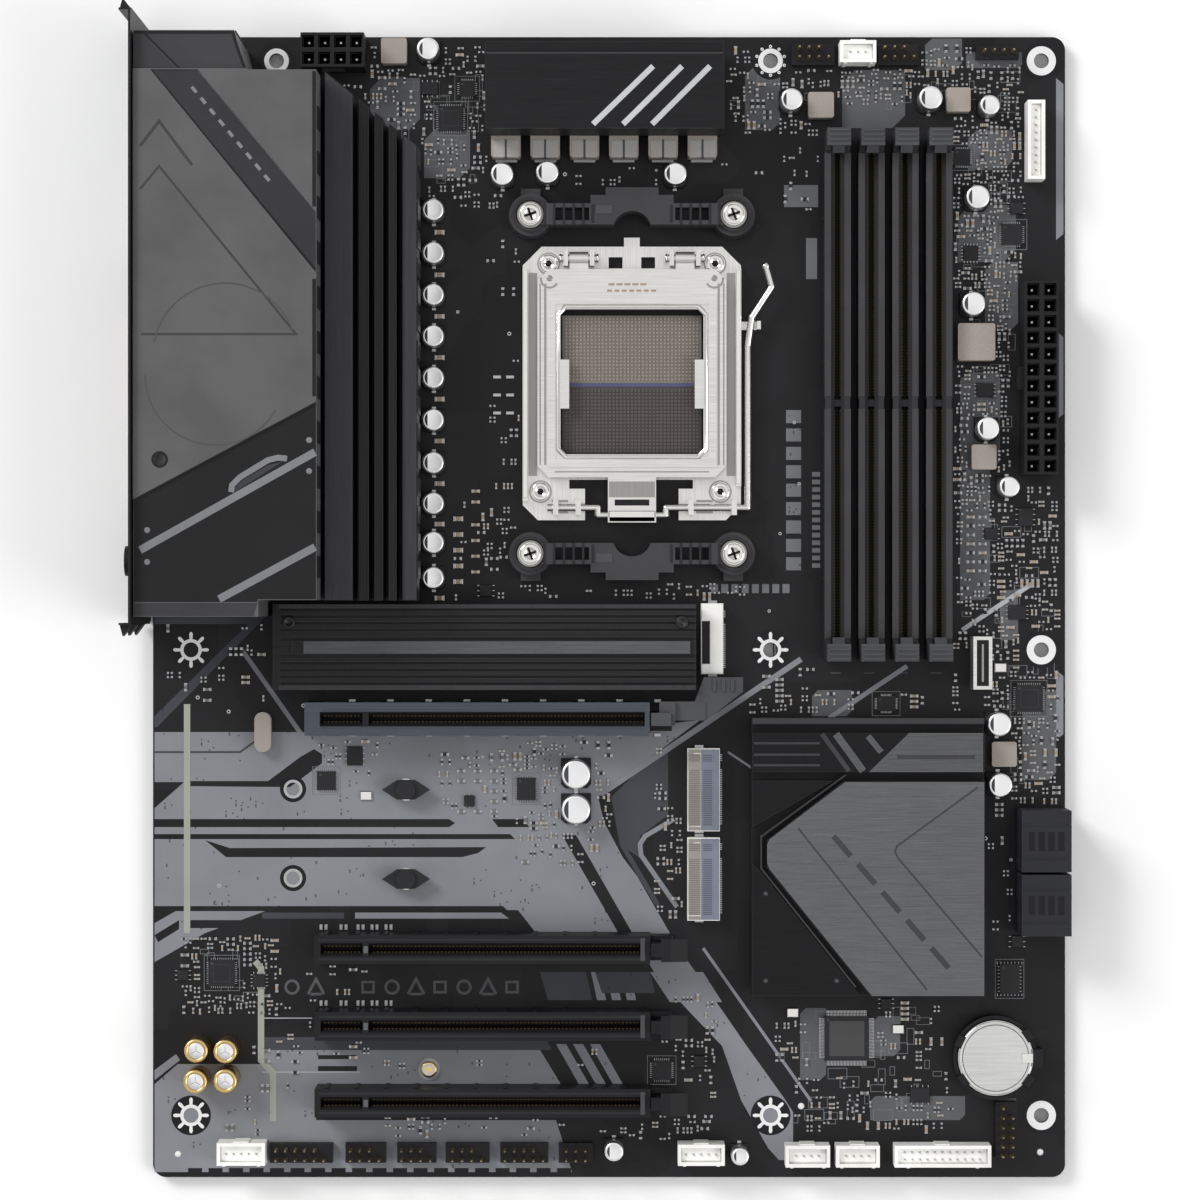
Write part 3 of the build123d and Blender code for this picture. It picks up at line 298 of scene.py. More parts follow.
MAT = {
    "board_black": solder_mask("board_black", (0.0105, 0.0105, 0.0118)),
    "board_print": ink("board_print", (0.226, 0.233, 0.254)),
    "print_mid": ink("print_mid", (0.055, 0.058, 0.068)),
    "print_black": ink("print_black", (0.009, 0.009, 0.011), 0.42),
    "print_white": ink("print_white", (0.42, 0.43, 0.45), 0.55),
    "trace_dark": ink("trace_dark", (0.0135, 0.014, 0.0165), 0.36),
    "trace_gold": plated("trace_gold", (0.80, 0.56, 0.24), 0.24),
    "trace_tan": ink("trace_tan", (0.34, 0.355, 0.30)),
    "solder": plated("solder", (0.50, 0.50, 0.51), 0.34),
    "shroud_grey": moulded("shroud_grey", (0.100, 0.100, 0.102), 0.5, 3000.0, 0.2, 0.3),
    "shroud_dark": moulded("shroud_dark", (0.0098, 0.0098, 0.0110), 0.42, 3000.0, 0.2, 0.4),
    "shroud_edge": moulded("shroud_edge", (0.042, 0.042, 0.045), 0.45, 3000.0, 0.2, 0.4),
    "shroud_band": moulded("shroud_band", (0.030, 0.030, 0.033), 0.45, 3000.0, 0.2, 0.4),
    "shroud_fine": ink("shroud_fine", (0.080, 0.080, 0.083)),
    "heatsink_slab": anodised("heatsink_slab", (0.044, 0.044, 0.048), 0.42, "y"),
    "plate_grey": anodised("plate_grey", (0.120, 0.122, 0.127), 0.46),
    "ferrite_pale": speckled("ferrite_pale", (0.40, 0.395, 0.38), 0.55, 1.3),
    # gold dimmed far below its own colour: painted shade for contacts deep in the slot grooves
    "contact_gold": plated("contact_gold", (0.16, 0.12, 0.062), 0.42),
    "m2_beige": moulded("m2_beige", (0.265, 0.25, 0.222), 0.5, 2600.0, 0.12, 0.2),
    "m2_blue": moulded("m2_blue", (0.165, 0.182, 0.235), 0.5, 2600.0, 0.12, 0.2),
    "field_up": speckled("field_up", (0.205, 0.178, 0.155), 0.5, 1.2),
    "field_low": speckled("field_low", (0.075, 0.065, 0.060), 0.5, 1.2),
    "leaf_up": speckled("leaf_up", (0.33, 0.290, 0.255), 0.4, 1.2),
    "leaf_low": speckled("leaf_low", (0.125, 0.110, 0.102), 0.4, 1.2),
    "seam_blue": moulded("seam_blue", (0.085, 0.09, 0.17), 0.45),
    # a darker steel: real on springs, washers and the port tongue; laid as thin strips and arcs on the socket frame and
    # load plate it is painted shade
    "steel_shade": brushed("steel_shade", (0.36, 0.352, 0.335), 0.36, "y"),
    "stamp_tan": ink("stamp_tan", (0.38, 0.29, 0.22)),
    "lamp_amber": moulded("lamp_amber", (0.55, 0.28, 0.04), 0.35),
    "plastic_red": moulded("plastic_red", (0.30, 0.035, 0.03), 0.42),
    "dimm_plastic": moulded("dimm_plastic", (0.028, 0.0285, 0.031), 0.5),
    "dimm_rail": moulded("dimm_rail", (0.046, 0.0465, 0.049), 0.5),
    "bracket_plastic": moulded("bracket_plastic", (0.046, 0.046, 0.049), 0.5),
    "silk_grey": ink("silk_grey", (0.17, 0.175, 0.18), 0.55),
    "mark_grey": ink("mark_grey", (0.095, 0.097, 0.103), 0.55),
    "hatch_grey": ink("hatch_grey", (0.105, 0.107, 0.113), 0.5),
    "sink_deep": anodised("sink_deep", (0.0100, 0.0100, 0.0112), 0.42),
    "sink_mid": anodised("sink_mid", (0.0200, 0.0200, 0.0215), 0.40),
    # white ink in place of bright tin: painted reflection
    "pad_white": ink("pad_white", (0.80, 0.80, 0.80), 0.4),
    "chip_top": speckled("chip_top", (0.060, 0.060, 0.060), 0.5, 1.5),
    "pin_dim": plated("pin_dim", (0.42, 0.33, 0.18), 0.35),
    "shroud_line": ink("shroud_line", (0.20, 0.205, 0.215)),
    "shroud_groove": ink("shroud_groove", (0.050, 0.050, 0.053)),
    "heatsink_dark": anodised("heatsink_dark", (0.0150, 0.0150, 0.0165), 0.40),
    "heatsink_fins": anodised("heatsink_fins", (0.0135, 0.0135, 0.015), 0.42, "y"),
    "heatsink_grey": anodised("heatsink_grey", (0.098, 0.100, 0.104), 0.45),
    "heatsink_stripe": ink("heatsink_stripe", (0.52, 0.53, 0.54), 0.45),
    "shield_dark": moulded("shield_dark", (0.012, 0.012, 0.013), 0.4, 4000.0, 0.1, 0.5),
    "steel": brushed("steel", (0.75, 0.74, 0.72), 0.40, "x", bump=0.05, wear=0.25),
    "steel_up": brushed("steel_up", (0.78, 0.77, 0.755), 0.38, "y", bump=0.035, wear=0.15),
    "steel_soft": plated("steel_soft", (0.82, 0.81, 0.79), 0.22, 0.15),
    "steel_bright": plated("steel_bright", (0.84, 0.83, 0.81), 0.14),
    "steel_dark": brushed("steel_dark", (0.016, 0.016, 0.018), 0.42, "y", 0.3),
    "armour": brushed("armour", (0.088, 0.100, 0.118), 0.34, "x"),
    "can": plated("can", (0.93, 0.93, 0.93), 0.3),
    "plastic_black": moulded("plastic_black", (0.0095, 0.0095, 0.011), 0.42),
    "plastic_charcoal": moulded("plastic_charcoal", (0.020, 0.0205, 0.024), 0.45),
    "plastic_grey": moulded("plastic_grey", (0.066, 0.067, 0.071), 0.45),
    "plastic_white": moulded("plastic_white", (0.90, 0.89, 0.86), 0.5, 2600.0, 0.12, 0.2),
    "plastic_blue": moulded("plastic_blue", (0.05, 0.11, 0.28), 0.45),
    "contact_field": speckled("contact_field", (0.055, 0.048, 0.044), 0.5),
    "ferrite": speckled("ferrite", (0.36, 0.32, 0.285), 0.62, 1.35),
    "ferrite_dark": speckled("ferrite_dark", (0.085, 0.083, 0.083), 0.62, 1.6),
    "chip": speckled("chip", (0.017, 0.017, 0.019), 0.5, 2.2),
    "ceramic_tan": speckled("ceramic_tan", (0.35, 0.27, 0.19), 0.5, 1.2),
    "ceramic_grey": speckled("ceramic_grey", (0.16, 0.15, 0.145), 0.5, 1.3),
    "resistor": speckled("resistor", (0.02, 0.02, 0.024), 0.4, 1.8),
    "pad": moulded("pad", (0.16, 0.19, 0.24), 0.8, 1400.0, 0.4, 0.1),
    "cell": brushed("cell", (0.68, 0.68, 0.67), 0.28, "x", bump=0.05),
    "jack_green": moulded("jack_green", (0.06, 0.32, 0.10), 0.4),
    "jack_pink": moulded("jack_pink", (0.55, 0.12, 0.2), 0.4),
    "jack_blue": moulded("jack_blue", (0.05, 0.16, 0.5), 0.4),
}
SPECIAL = {"dimm_slots": "dimm_plastic", "cooler_bracket_upper": "bracket_plastic", "cooler_bracket_lower": "bracket_plastic",
           "vrm_heatsink_rear": "heatsink_fins", "socket_frame": "steel_up", "socket_lever": "steel_soft", "chipset_heatsink": "sink_deep", "m2_heatsink": "sink_mid", "rear_port_inserts": "plastic_black"}
for sub in RECORD["subparts"]:
    ob = NODES[sub["node"]]
    m = MAT[SPECIAL.get(sub["node"], sub["material_slot"])]
    ob.data.materials.clear()
    ob.data.materials.append(m)

# ------------------------------------------------------------------ mesh helpers
class Acc:
    """Collects many small closed shapes, in millimetres from the board's corner, into one piece."""

    def __init__(self, name, mat, body="board", slot=None, smooth=False):
        self.name, self.mat, self.body, self.slot, self.smooth = name, mat, body, slot, smooth
        self.v, self.f, self.soft = [], [], []

    def _add(self, verts, faces, soft=False):
        k = len(self.v)
        self.v.extend(verts)
        self.f.extend([tuple(i + k for i in f) for f in faces])
        self.soft.extend([soft] * len(faces))

    def ring_stack(self, rings, soft=False, close=True):
        """Rings of equal length, joined in order; the ends are closed."""
        n = len(rings[0])
        verts = [p for r in rings for p in r]
        faces = []
        for k in range(len(rings) - 1):
            a, b = k * n, (k + 1) * n
            for i in range(n):
                j = (i + 1) % n
                faces.append((a + i, a + j, b + j, b + i))
        kk = len(self.v)
        self.v.extend(verts)
        self.f.extend([tuple(i + kk for i in f) for f in faces])
        self.soft.extend([soft] * len(faces))
        if close:
            self.f.append(tuple(kk + i for i in range(n))[::-1])
            self.f.append(tuple(kk + (len(rings) - 1) * n + i for i in range(n)))
            self.soft.extend([False, False])

    def box(self, u0, u1, v0, v1, z0, z1, c=0.0):
        if u1 < u0:
            u0, u1 = u1, u0
        if v1 < v0:
            v0, v1 = v1, v0
        def ring(d, z):
            return [(u0 + d, v0 + d, z), (u1 - d, v0 + d, z), (u1 - d, v1 - d, z), (u0 + d, v1 - d, z)]
        if c > 0:
            self.ring_stack([ring(0, z0), ring(0, z1 - c), ring(c, z1)])
        else:
            self.ring_stack([ring(0, z0), ring(0, z1)])

    def rbox(self, u, v, w, h, z0, z1, ang=0.0, c=0.0):
        """A box centred at u, v and turned by ang degrees about Z."""
        ca, sa = math.cos(math.radians(ang)), math.sin(math.radians(ang))
        def ring(d, z):
            out = []
            for x, y in ((-1, -1), (1, -1), (1, 1), (-1, 1)):
                a, b = x * (w / 2 - d), y * (h / 2 - d)
                out.append((u + a * ca - b * sa, v + a * sa + b * ca, z))
            return out
        if c > 0:
            self.ring_stack([ring(0, z0), ring(0, z1 - c), ring(c, z1)])
        else:
            self.ring_stack([ring(0, z0), ring(0, z1)])

    def lathe(self, u, v, prof, n=24, start=0.0):
        """prof is a list of (radius, z) from the bottom up."""
        rings = []
        for r, z in prof:
            rings.append([(u + r * math.cos(start + 2 * math.pi * i / n), v + r * math.sin(start + 2 * math.pi * i / n), z) for i in range(n)])
        self.ring_stack(rings, soft=True)

    def tube_x(self, u0, u1, v, z, r, n=12, bore=0.0):
        ring = lambda rr, u: [(u, v + rr * math.cos(2 * math.pi * i / n), z + rr * math.sin(2 * math.pi * i / n)) for i in range(n)]
        if bore > 0:
            self.loop_stack([ring(r, u0), ring(r, u1), ring(bore, u1), ring(bore, u0)])
        else:
            self.ring_stack([ring(r, u0), ring(r, u1)], soft=True)

    def loop_stack(self, rings, soft=True):
        """Rings joined in order and back to the first, so the solid has a hole."""
        n, m = len(rings[0]), len(rings)
        kk = len(self.v)
        for r in rings:
            self.v.extend(r)
        for k in range(m):
            a, b = kk + k * n, kk + ((k + 1) % m) * n
            for i in range(n):
                j = (i + 1) % n
                self.f.append((a + i, a + j, b + j, b + i))
                self.soft.append(soft)

    def annulus(self, u, v, r0, r1, z0, z1, n=24):
        ring = lambda r, z: [(u + r * math.cos(2 * math.pi * i / n), v + r * math.sin(2 * math.pi * i / n), z) for i in range(n)]
        self.loop_stack([ring(r1, z0), ring(r1, z1), ring(r0, z1), ring(r0, z0)], soft=False)

    def frame_ring(self, u0, u1, v0, v1, w, z0, z1):
        """A rectangular ring of wall w."""
        out = lambda d, z: [(u0 + d, v0 + d, z), (u1 - d, v0 + d, z), (u1 - d, v1 - d, z), (u0 + d, v1 - d, z)]
        self.loop_stack([out(0, z0), out(0, z1), out(w, z1), out(w, z0)], soft=False)

    def prism(self, pts, z0, z1, c=0.0):
        a = sum(p[0] * q[1] - q[0] * p[1] for p, q in zip(pts, pts[1:] + pts[:1]))
        if a < 0:
            pts = pts[::-1]
        rings = [[(u, v, z0) for u, v in pts]]
        if c > 0:
            n = len(pts)
            inner = []
            for i in range(n):
                p, q, r = Vector(pts[i - 1]), Vector(pts[i]), Vector(pts[(i + 1) % n])
                d1, d2 = (q - p).normalized(), (r - q).normalized()
                n1, n2 = Vector((-d1.y, d1.x)), Vector((-d2.y, d2.x))
                m = n1 + n2
                m = m / max(0.25, m.dot(n1))
                inner.append((q.x + m.x * c, q.y + m.y * c, z1))
            rings += [[(u, v, z1 - c) for u, v in pts], inner]
        else:
            rings.append([(u, v, z1) for u, v in pts])
        self.ring_stack(rings)

    def ribbon(self, pts, w, z0, z1):
        """A flat mitred strip of width w along a polyline."""
        n = len(pts)
        left, right = [], []
        for i in range(n):
            q = Vector(pts[i])
            if i == 0:
                d = (Vector(pts[1]) - q).normalized()
                m = Vector((-d.y, d.x)) * (w / 2)
            elif i == n - 1:
                d = (q - Vector(pts[i - 1])).normalized()
                m = Vector((-d.y, d.x)) * (w / 2)
            else:
                d1, d2 = (q - Vector(pts[i - 1])).normalized(), (Vector(pts[i + 1]) - q).normalized()
                n1, n2 = Vector((-d1.y, d1.x)), Vector((-d2.y, d2.x))
                m = n1 + n2
                m = m / max(0.3, m.dot(n1)) * (w / 2)
            left.append((q.x + m.x, q.y + m.y))
            right.append((q.x - m.x, q.y - m.y))
        kk = len(self.v)
        for k in range(n):
            for (u, v) in (left[k], right[k]):
                self.v.append((u, v, z0))
                self.v.append((u, v, z1))
        for k in range(n - 1):
            a, b = kk + 4 * k, kk + 4 * (k + 1)
            for f in ((a + 1, a + 3, b + 3, b + 1), (a, b, b + 2, a + 2), (a, a + 1, b + 1, b), (a + 2, b + 2, b + 3, a + 3)):
                self.f.append(f)
                self.soft.append(False)
        a, b = kk, kk + 4 * (n - 1)
        self.f.append((a, a + 2, a + 3, a + 1))
        self.f.append((b, b + 1, b + 3, b + 2))
        self.soft.extend([False, False])

    def done(self):
        if not self.v:
            return None
        me = bpy.data.meshes.new(self.name)
        me.from_pydata([((x - U0) / 1000, (y - V0) / 1000, z / 1000) for x, y, z in self.v], [], self.f)
        me.polygons.foreach_set("use_smooth", self.soft)
        me.update()
        import bmesh
        bm = bmesh.new()
        bm.from_mesh(me)
        bmesh.ops.recalc_face_normals(bm, faces=bm.faces)
        bm.to_mesh(me)
        bm.free()
        ob = bpy.data.objects.new(self.name, me)
        bpy.context.scene.collection.objects.link(ob)
        me.materials.append(MAT[self.mat])
        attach(ob, self.body)
        self.slot or (self.mat if self.mat in SLOTS else "board_print")
        return ob


PIECES = {}


def acc(name, mat, body="board", slot=None):
    if name not in PIECES:
        PIECES[name] = Acc(name, mat, body, slot)
    return PIECES[name]


SLOT_OF = {"mark_grey": "board_print", "hatch_grey": "board_print", "sink_deep": "heatsink_dark", "sink_mid": "heatsink_dark", "steel_soft": "steel",
           "dimm_plastic": "plastic_charcoal", "dimm_rail": "plastic_charcoal", "bracket_plastic": "plastic_charcoal", "silk_grey": "board_print", "pad_white": "solder",
           "chip_top": "chip", "pin_dim": "trace_gold",
           "field_up": "contact_field", "field_low": "contact_field", "leaf_up": "contact_field", "leaf_low": "contact_field", "seam_blue": "contact_field", "steel_shade": "steel",
           "stamp_tan": "steel", "lamp_amber": "plastic_charcoal", "plastic_red": "plastic_charcoal",
           "shroud_band": "shroud_dark", "shroud_fine": "shroud_grey", "heatsink_slab": "heatsink_dark", "plate_grey": "heatsink_grey", "ferrite_pale": "ferrite",
           "contact_gold": "trace_gold", "m2_beige": "plastic_white", "m2_blue": "plastic_white",
           "print_mid": "board_print", "print_black": "board_black", "print_white": "board_print", "trace_dark": "board_black", "shroud_edge": "shroud_dark",
           "shroud_groove": "shroud_dark", "heatsink_fins": "heatsink_dark", "heatsink_stripe": "heatsink_grey", "steel_up": "steel", "plastic_blue": "plastic_charcoal",
           "ferrite_dark": "ferrite", "ceramic_tan": "ferrite", "ceramic_grey": "ferrite", "resistor": "chip", "jack_green": "plastic_charcoal", "jack_pink": "plastic_charcoal",
           "jack_blue": "plastic_charcoal"}


def piece(name, mat, body="board"):
    return acc(name, mat, body, SLOT_OF.get(mat, mat))


# ------------------------------------------------------------------ camera, floor and light
scene = bpy.context.scene
CU, CV = (119.5 - U0) / 1000, (154.3 - V0) / 1000
cam_data = bpy.data.cameras.new("camera")
cam_data.sensor_width = 36.0
cam_data.lens = 112.2
cam = bpy.data.objects.new("camera", cam_data)
cam.location = (CU, CV, 1.0 + T / 1000)
cam.rotation_euler = (0, 0, 0)
scene.collection.objects.link(cam)
scene.camera = cam
scene.view_settings.view_transform = "Standard"

floor_me = bpy.data.meshes.new("floor")
F = 3.0
floor_me.from_pydata([(-F, -F, 0), (F, -F, 0), (F, F, 0), (-F, F, 0)], [], [(0, 1, 2, 3)])
floor = bpy.data.objects.new("floor", floor_me)
floor.location = (CU, CV, CAD_BOX[0][2] - 0.00005)
scene.collection.objects.link(floor)
fm = Nodes("floor_mat")
fm.set(color=fm.mix(fm.noise(6.0, 3.0), (0.945, 0.945, 0.945), (0.965, 0.965, 0.965)), rough=0.75)
floor_me.materials.append(fm.m)

world = bpy.data.worlds.new("studio")
world.use_nodes = True
bg = world.node_tree.nodes["Background"]
bg.inputs[0].default_value = (1.0, 1.0, 1.0, 1.0)
bg.inputs[1].default_value = 0.50
scene.world = world


def area(name, loc, aim, size, power, size_y=None):
    d = bpy.data.lights.new(name, "AREA")
    d.shape = "RECTANGLE"
    d.size, d.size_y = size, size_y or size
    d.energy = power
    o = bpy.data.objects.new(name, d)
    o.location = loc
    o.rotation_euler = (Vector(aim) - Vector(loc)).to_track_quat("-Z", "Y").to_euler()
    scene.collection.objects.link(o)
    return o


area("key", (CU - 1.5, CV + 1.3, 1.5), (CU, CV, 0), 0.9, 34.0)
area("fill", (CU + 1.6, CV - 0.6, 1.5), (CU, CV, 0), 1.1, 15.0)
area("top", (CU, CV, 2.4), (CU, CV, 0), 2.2, 6.0)

# ------------------------------------------------------------------ printed art on the board
ZP = T - 0.02


def px(x, y):
    """A point of the print, given on a 3.74 per mm sheet whose origin is the board's upper left corner less (153, 36)."""
    return ((x - 153.0) / 3.74, (1177.0 - y) / 3.74)


def clip(pts):
    return [(min(243.4, max(0.4, u)), min(304.4, max(0.4, v))) for u, v in pts]


LAYER = [0]


def patch(mat, pts, level=1):
    LAYER[0] += 1
    p = piece("print_" + mat, mat)
    p.prism(clip([px(*q) for q in pts]), ZP, T + 0.012 * level + 0.0003 * LAYER[0])


# level 1: grey fields
patch("board_print", [(153, 732), (595, 732), (700, 720), (660, 750), (598, 797), (604, 822), (648, 905), (666, 933), (536, 933), (518, 910), (268, 910), (205, 933), (153, 962)])
patch("board_print", [(598, 836), (611, 842), (637, 876), (668, 930), (680, 950), (708, 990), (746, 1045), (784, 1098), (793, 1112), (793, 1160), (779, 1160), (768, 1148), (741, 1100), (722, 1046), (684, 1006), (656, 975), (620, 915), (590, 862)])
patch("board_print", [(262, 1050), (540, 1050), (562, 1086), (262, 1086)])
patch("print_mid", [(262, 1037), (545, 1037), (552, 1050), (262, 1050)])
for k in range(3):
    patch("board_print", [(556 + 17 * k, 1044), (566 + 17 * k, 1044), (590 + 17 * k, 1086), (580 + 17 * k, 1086)])
    patch("board_print", [(591 + 15 * k, 972), (600 + 15 * k, 972), (606 + 15 * k, 1000), (597 + 15 * k, 1000)])
patch("board_print", [(153, 1120), (556, 1120), (572, 1172), (153, 1172)])
patch("board_print", [(266, 1064), (316, 1064), (316, 1120), (266, 1120)])
patch("board_print", [(153, 1080), (170, 1064), (266, 1064), (266, 1120), (153, 1120)])
patch("board_print", [(650, 972), (703, 972), (722, 1002), (670, 1002)])
for a, b in ((78, 240), (331, 420), (670, 740)):
    patch("board_print", [(1056, a), (1065, a + 6), (1065, b - 6), (1056, b)])
# level 2: darker shapes and stripes within them
def dark(pts):
    patch("board_black", pts, 2)


dark([(153, 819), (449, 819), (455, 823), (449, 827), (153, 827)])
dark([(492, 819), (524, 819), (529, 827), (498, 827)])
dark([(153, 834), (510, 834), (515, 839), (153, 839)])
dark([(205, 840), (230, 848), (486, 847), (478, 853), (462, 857), (226, 857)])
dark([(153, 906), (503, 906), (508, 911), (153, 911)])
dark([(184, 920), (249, 920), (243, 928), (184, 928)])
dark([(268, 921), (518, 921), (534, 937), (262, 937)])
dark([(153, 908), (181, 908), (153, 923)])
patch("board_print", [(355, 912.5), (501, 912.5), (509, 918.5), (355, 918.5)], 3)
patch("print_mid", [(262, 912.5), (344, 912.5), (344, 918.5), (262, 918.5)], 3)
# a dark bar below the card slot, painted as the slot's shadow on the print
dark([(318, 1055), (357, 1055), (357, 1059), (318, 1059)])
dark([(318, 1066), (357, 1066), (357, 1071), (318, 1071)])
dark([(153, 935), (179, 920), (179, 929), (158, 942)])
dark([(184, 781), (268, 781), (300, 757), (314, 749), (322, 754), (322, 763), (290, 787), (184, 786)])
dark([(153, 782), (184, 782), (153, 808)])
dark([(562, 835), (576, 835), (634, 936), (620, 936)])
patch("print_mid", [(611, 797), (634, 775), (668, 752), (668, 815), (640, 836), (640, 858), (668, 905), (655, 905), (620, 846)], 2)
dark([(628, 850), (640, 858), (676, 915), (668, 918)])
dark([(153, 988), (190, 958), (246, 958), (262, 975), (262, 1052), (196, 1052), (180, 1062), (153, 1084)])
patch("board_print", [(153, 1070), (176, 1054), (180, 1060), (153, 1080)], 3)
patch("print_mid", [(595, 972), (650, 972), (655, 993), (602, 993)])
patch("print_mid", [(540, 972), (586, 972), (592, 1000), (548, 1000)])
patch("print_mid", [(153, 617), (265, 617), (157, 727), (153, 727)])
patch("board_black", [(153, 624), (248, 624), (153, 716)], 2)
patch("silk_grey", [(784, 185), (818, 185), (818, 207), (784, 207)])
patch("silk_grey", [(806, 238), (817, 238), (817, 279), (806, 279)])


# plain blocks where the board carries wording
for k in range(9):
    patch("silk_grey", [(786, 410 + 18.4 * k), (801, 410 + 18.4 * k), (801, 423 + 18.4 * k), (786, 423 + 18.4 * k)])
for k in range(13):
    patch("silk_grey", [(812, 472 + 7.6 * k), (820, 472 + 7.6 * k), (820, 476.5 + 7.6 * k), (812, 476.5 + 7.6 * k)])
for k in range(8):
    patch("silk_grey", [(711 + 10.2 * k, 584), (718 + 10.2 * k, 584), (718 + 10.2 * k, 593), (711 + 10.2 * k, 593)])
for k in range(19):
    dark([(188 + 20.5 * k, 1168), (202 + 20.5 * k, 1168), (202 + 20.5 * k, 1174), (188 + 20.5 * k, 1174)])
# grey hatching under the crowded corners
for x0, y0, x1, y1 in ((745, 68, 780, 130), (842, 70, 905, 128), (925, 38, 962, 70), (966, 52, 1022, 68), (968, 130, 1012, 170), (958, 205, 1016, 262), (985, 262, 1018, 330),
                       (960, 372, 1000, 470), (960, 470, 990, 600), (1000, 590, 1018, 640), (1022, 690, 1056, 780), (370, 78, 420, 130), (424, 130, 470, 178), (812, 690, 852, 716),
                       (870, 1096, 965, 1120), (800, 1008, 826, 1080), (872, 1016, 900, 1056), (995, 1098, 1016, 1158)):
    c = 0.22 * min(x1 - x0, y1 - y0)
    patch("hatch_grey", [(x0, y0 + c), (x0 + c, y0), (x1, y0), (x1, y1 - c), (x1 - c, y1), (x0, y1)], 0.5)


def line(mat, pts, w=0.45, level=3):
    LAYER[0] += 1
    piece("line_" + mat, mat).ribbon([px(*q) for q in pts], w, ZP, T + 0.012 * level + 0.0003 * LAYER[0])


line("board_print", [(595, 798), (801, 659)], 1.5)
line("board_print", [(829, 718), (907, 666)], 1.25)
line("print_white", [(962, 630), (1033, 583)], 1.2)
line("board_print", [(242, 650), (304, 738)], 1.2)
line("board_print", [(703, 948), (811, 1101)], 0.8)
line("board_print", [(728, 752), (752, 768)], 0.6)
line("board_print", [(674, 819), (645, 836), (640, 844), (641, 855), (677, 907)], 1.25)
line("print_white", [(262, 1018), (312, 1018)], 0.28)
line("print_white", [(262, 1072), (360, 1072)], 0.28)
line("print_mid", [(153, 752), (240, 752), (262, 736)], 0.5)
line("trace_tan", [(187, 704), (187, 933)], 1.7)
line("trace_tan", [(255, 961), (261, 968), (261, 1060), (273, 1073), (273, 1121)], 1.7)
# rings on the print and dark ring dots
for u, v in ((37.43, 103.74), (37.43, 79.95)):
    piece("hole_rings", "print_black").annulus(u, v, 1.8, 3.5, ZP, T + 0.05, 32)
    piece("hole_rings_tin", "solder").annulus(u, v, 1.78, 2.5, ZP, T + 0.07, 32)

# ------------------------------------------------------------------ where small parts may go
CELL = 0.5
NU, NV = int(243.84 / CELL) + 1, int(304.8 / CELL) + 1
grid = bytearray(NU * NV)


def block(u0, u1, v0, v1, m=0.35):
    for i in range(max(0, int((u0 - m) / CELL)), min(NU, int((u1 + m) / CELL) + 1)):
        for j in range(max(0, int((v0 - m) / CELL)), min(NV, int((v1 + m) / CELL) + 1)):
            grid[i * NV + j] = 1


def free(u0, u1, v0, v1):
    if u0 < 1.0 or v0 < 1.0 or u1 > 242.8 or v1 > 303.8:
        return False
    for i in range(int(u0 / CELL), int(u1 / CELL) + 1):
        for j in range(int(v0 / CELL), int(v1 / CELL) + 1):
            if grid[i * NV + j]:
                return False
    return True


def islands(ob):
    """Boxes of a mesh's loose parts."""
    me = ob.data
    parent = list(range(len(me.vertices)))

    def find(a):
        while parent[a] != a:
            parent[a] = parent[parent[a]]
            a = parent[a]
        return a
    co = [v.co for v in me.vertices]
    seen = {}
    for i, c in enumerate(co):
        k = (round(c.x, 6), round(c.y, 6), round(c.z, 6))
        if k in seen:
            parent[find(i)] = find(seen[k])
        else:
            seen[k] = i
    for e in me.edges:
        a, b = find(e.vertices[0]), find(e.vertices[1])
        if a != b:
            parent[a] = b
    out = {}
    for i, c in enumerate(co):
        r = find(i)
        x, y, z = c.x * 1000 + U0, c.y * 1000 + V0, c.z * 1000
        b = out.get(r)
        if b is None:
            out[r] = [x, x, y, y, z, z]
        else:
            b[0], b[1] = min(b[0], x), max(b[1], x)
            b[2], b[3] = min(b[2], y), max(b[3], y)
            b[4], b[5] = min(b[4], z), max(b[5], z)
    return list(out.values())


SKIP = {"pcb", "thermal_pads", "heatsink_screws", "connector_tails", "socket_backplate", "cooler_bracket_screws", "socket_screws"}
for name, ob in NODES.items():
    if name in SKIP:
        continue
    for b in islands(ob):
        if b[5] <= T + 0.01 or b[4] > T + 9.0:
            continue
        if name == "vrm_heatsink_rear":
            for k in range(12):
                f = k / 12
                block(47.8 + 23.9 * f, 47.8 + 23.9 * (f + 1 / 12), 154.2, 292.0 - 19.2 * f)
            continue
        if name == "io_shroud":
            block(0, 31.6, 150, 154.4)
            block(0, 46.6, 154.3, 290.6)
            block(0, 28.7, 290, 301)
            continue
        block(b[0], b[1], b[2], b[3])
# swinging pieces keep their room
for i in range(4):
    u = 182.5 + 8.97 * i
    block(u - 3.6, u + 3.6, 131.0, 139.0)
    block(u - 3.6, u + 3.6, 278.0, 286.0)
for v in (61.84, 41.52, 21.2):
    block(133.0, 147.0, v - 3.6, v + 3.6)
for v in (103.74, 79.95):
    block(60.8, 74.8, v - 7.0, v + 7.0)
block(144.0, 158.4, 122.0, 134.4)
block(155.0, 167.0, 175.0, 246.0)
for u, v in ((10.16, 16.51), (165.10, 16.51), (237.49, 16.51), (10.16, 140.97), (165.10, 140.97), (237.49, 140.97), (33.02, 298.45), (165.10, 298.45), (237.49, 298.45)):
    block(u - 4.6, u + 4.6, v - 4.6, v + 4.6)
for v in (103.74, 79.95):
    block(33.6, 41.2, v - 3.8, v + 3.8)
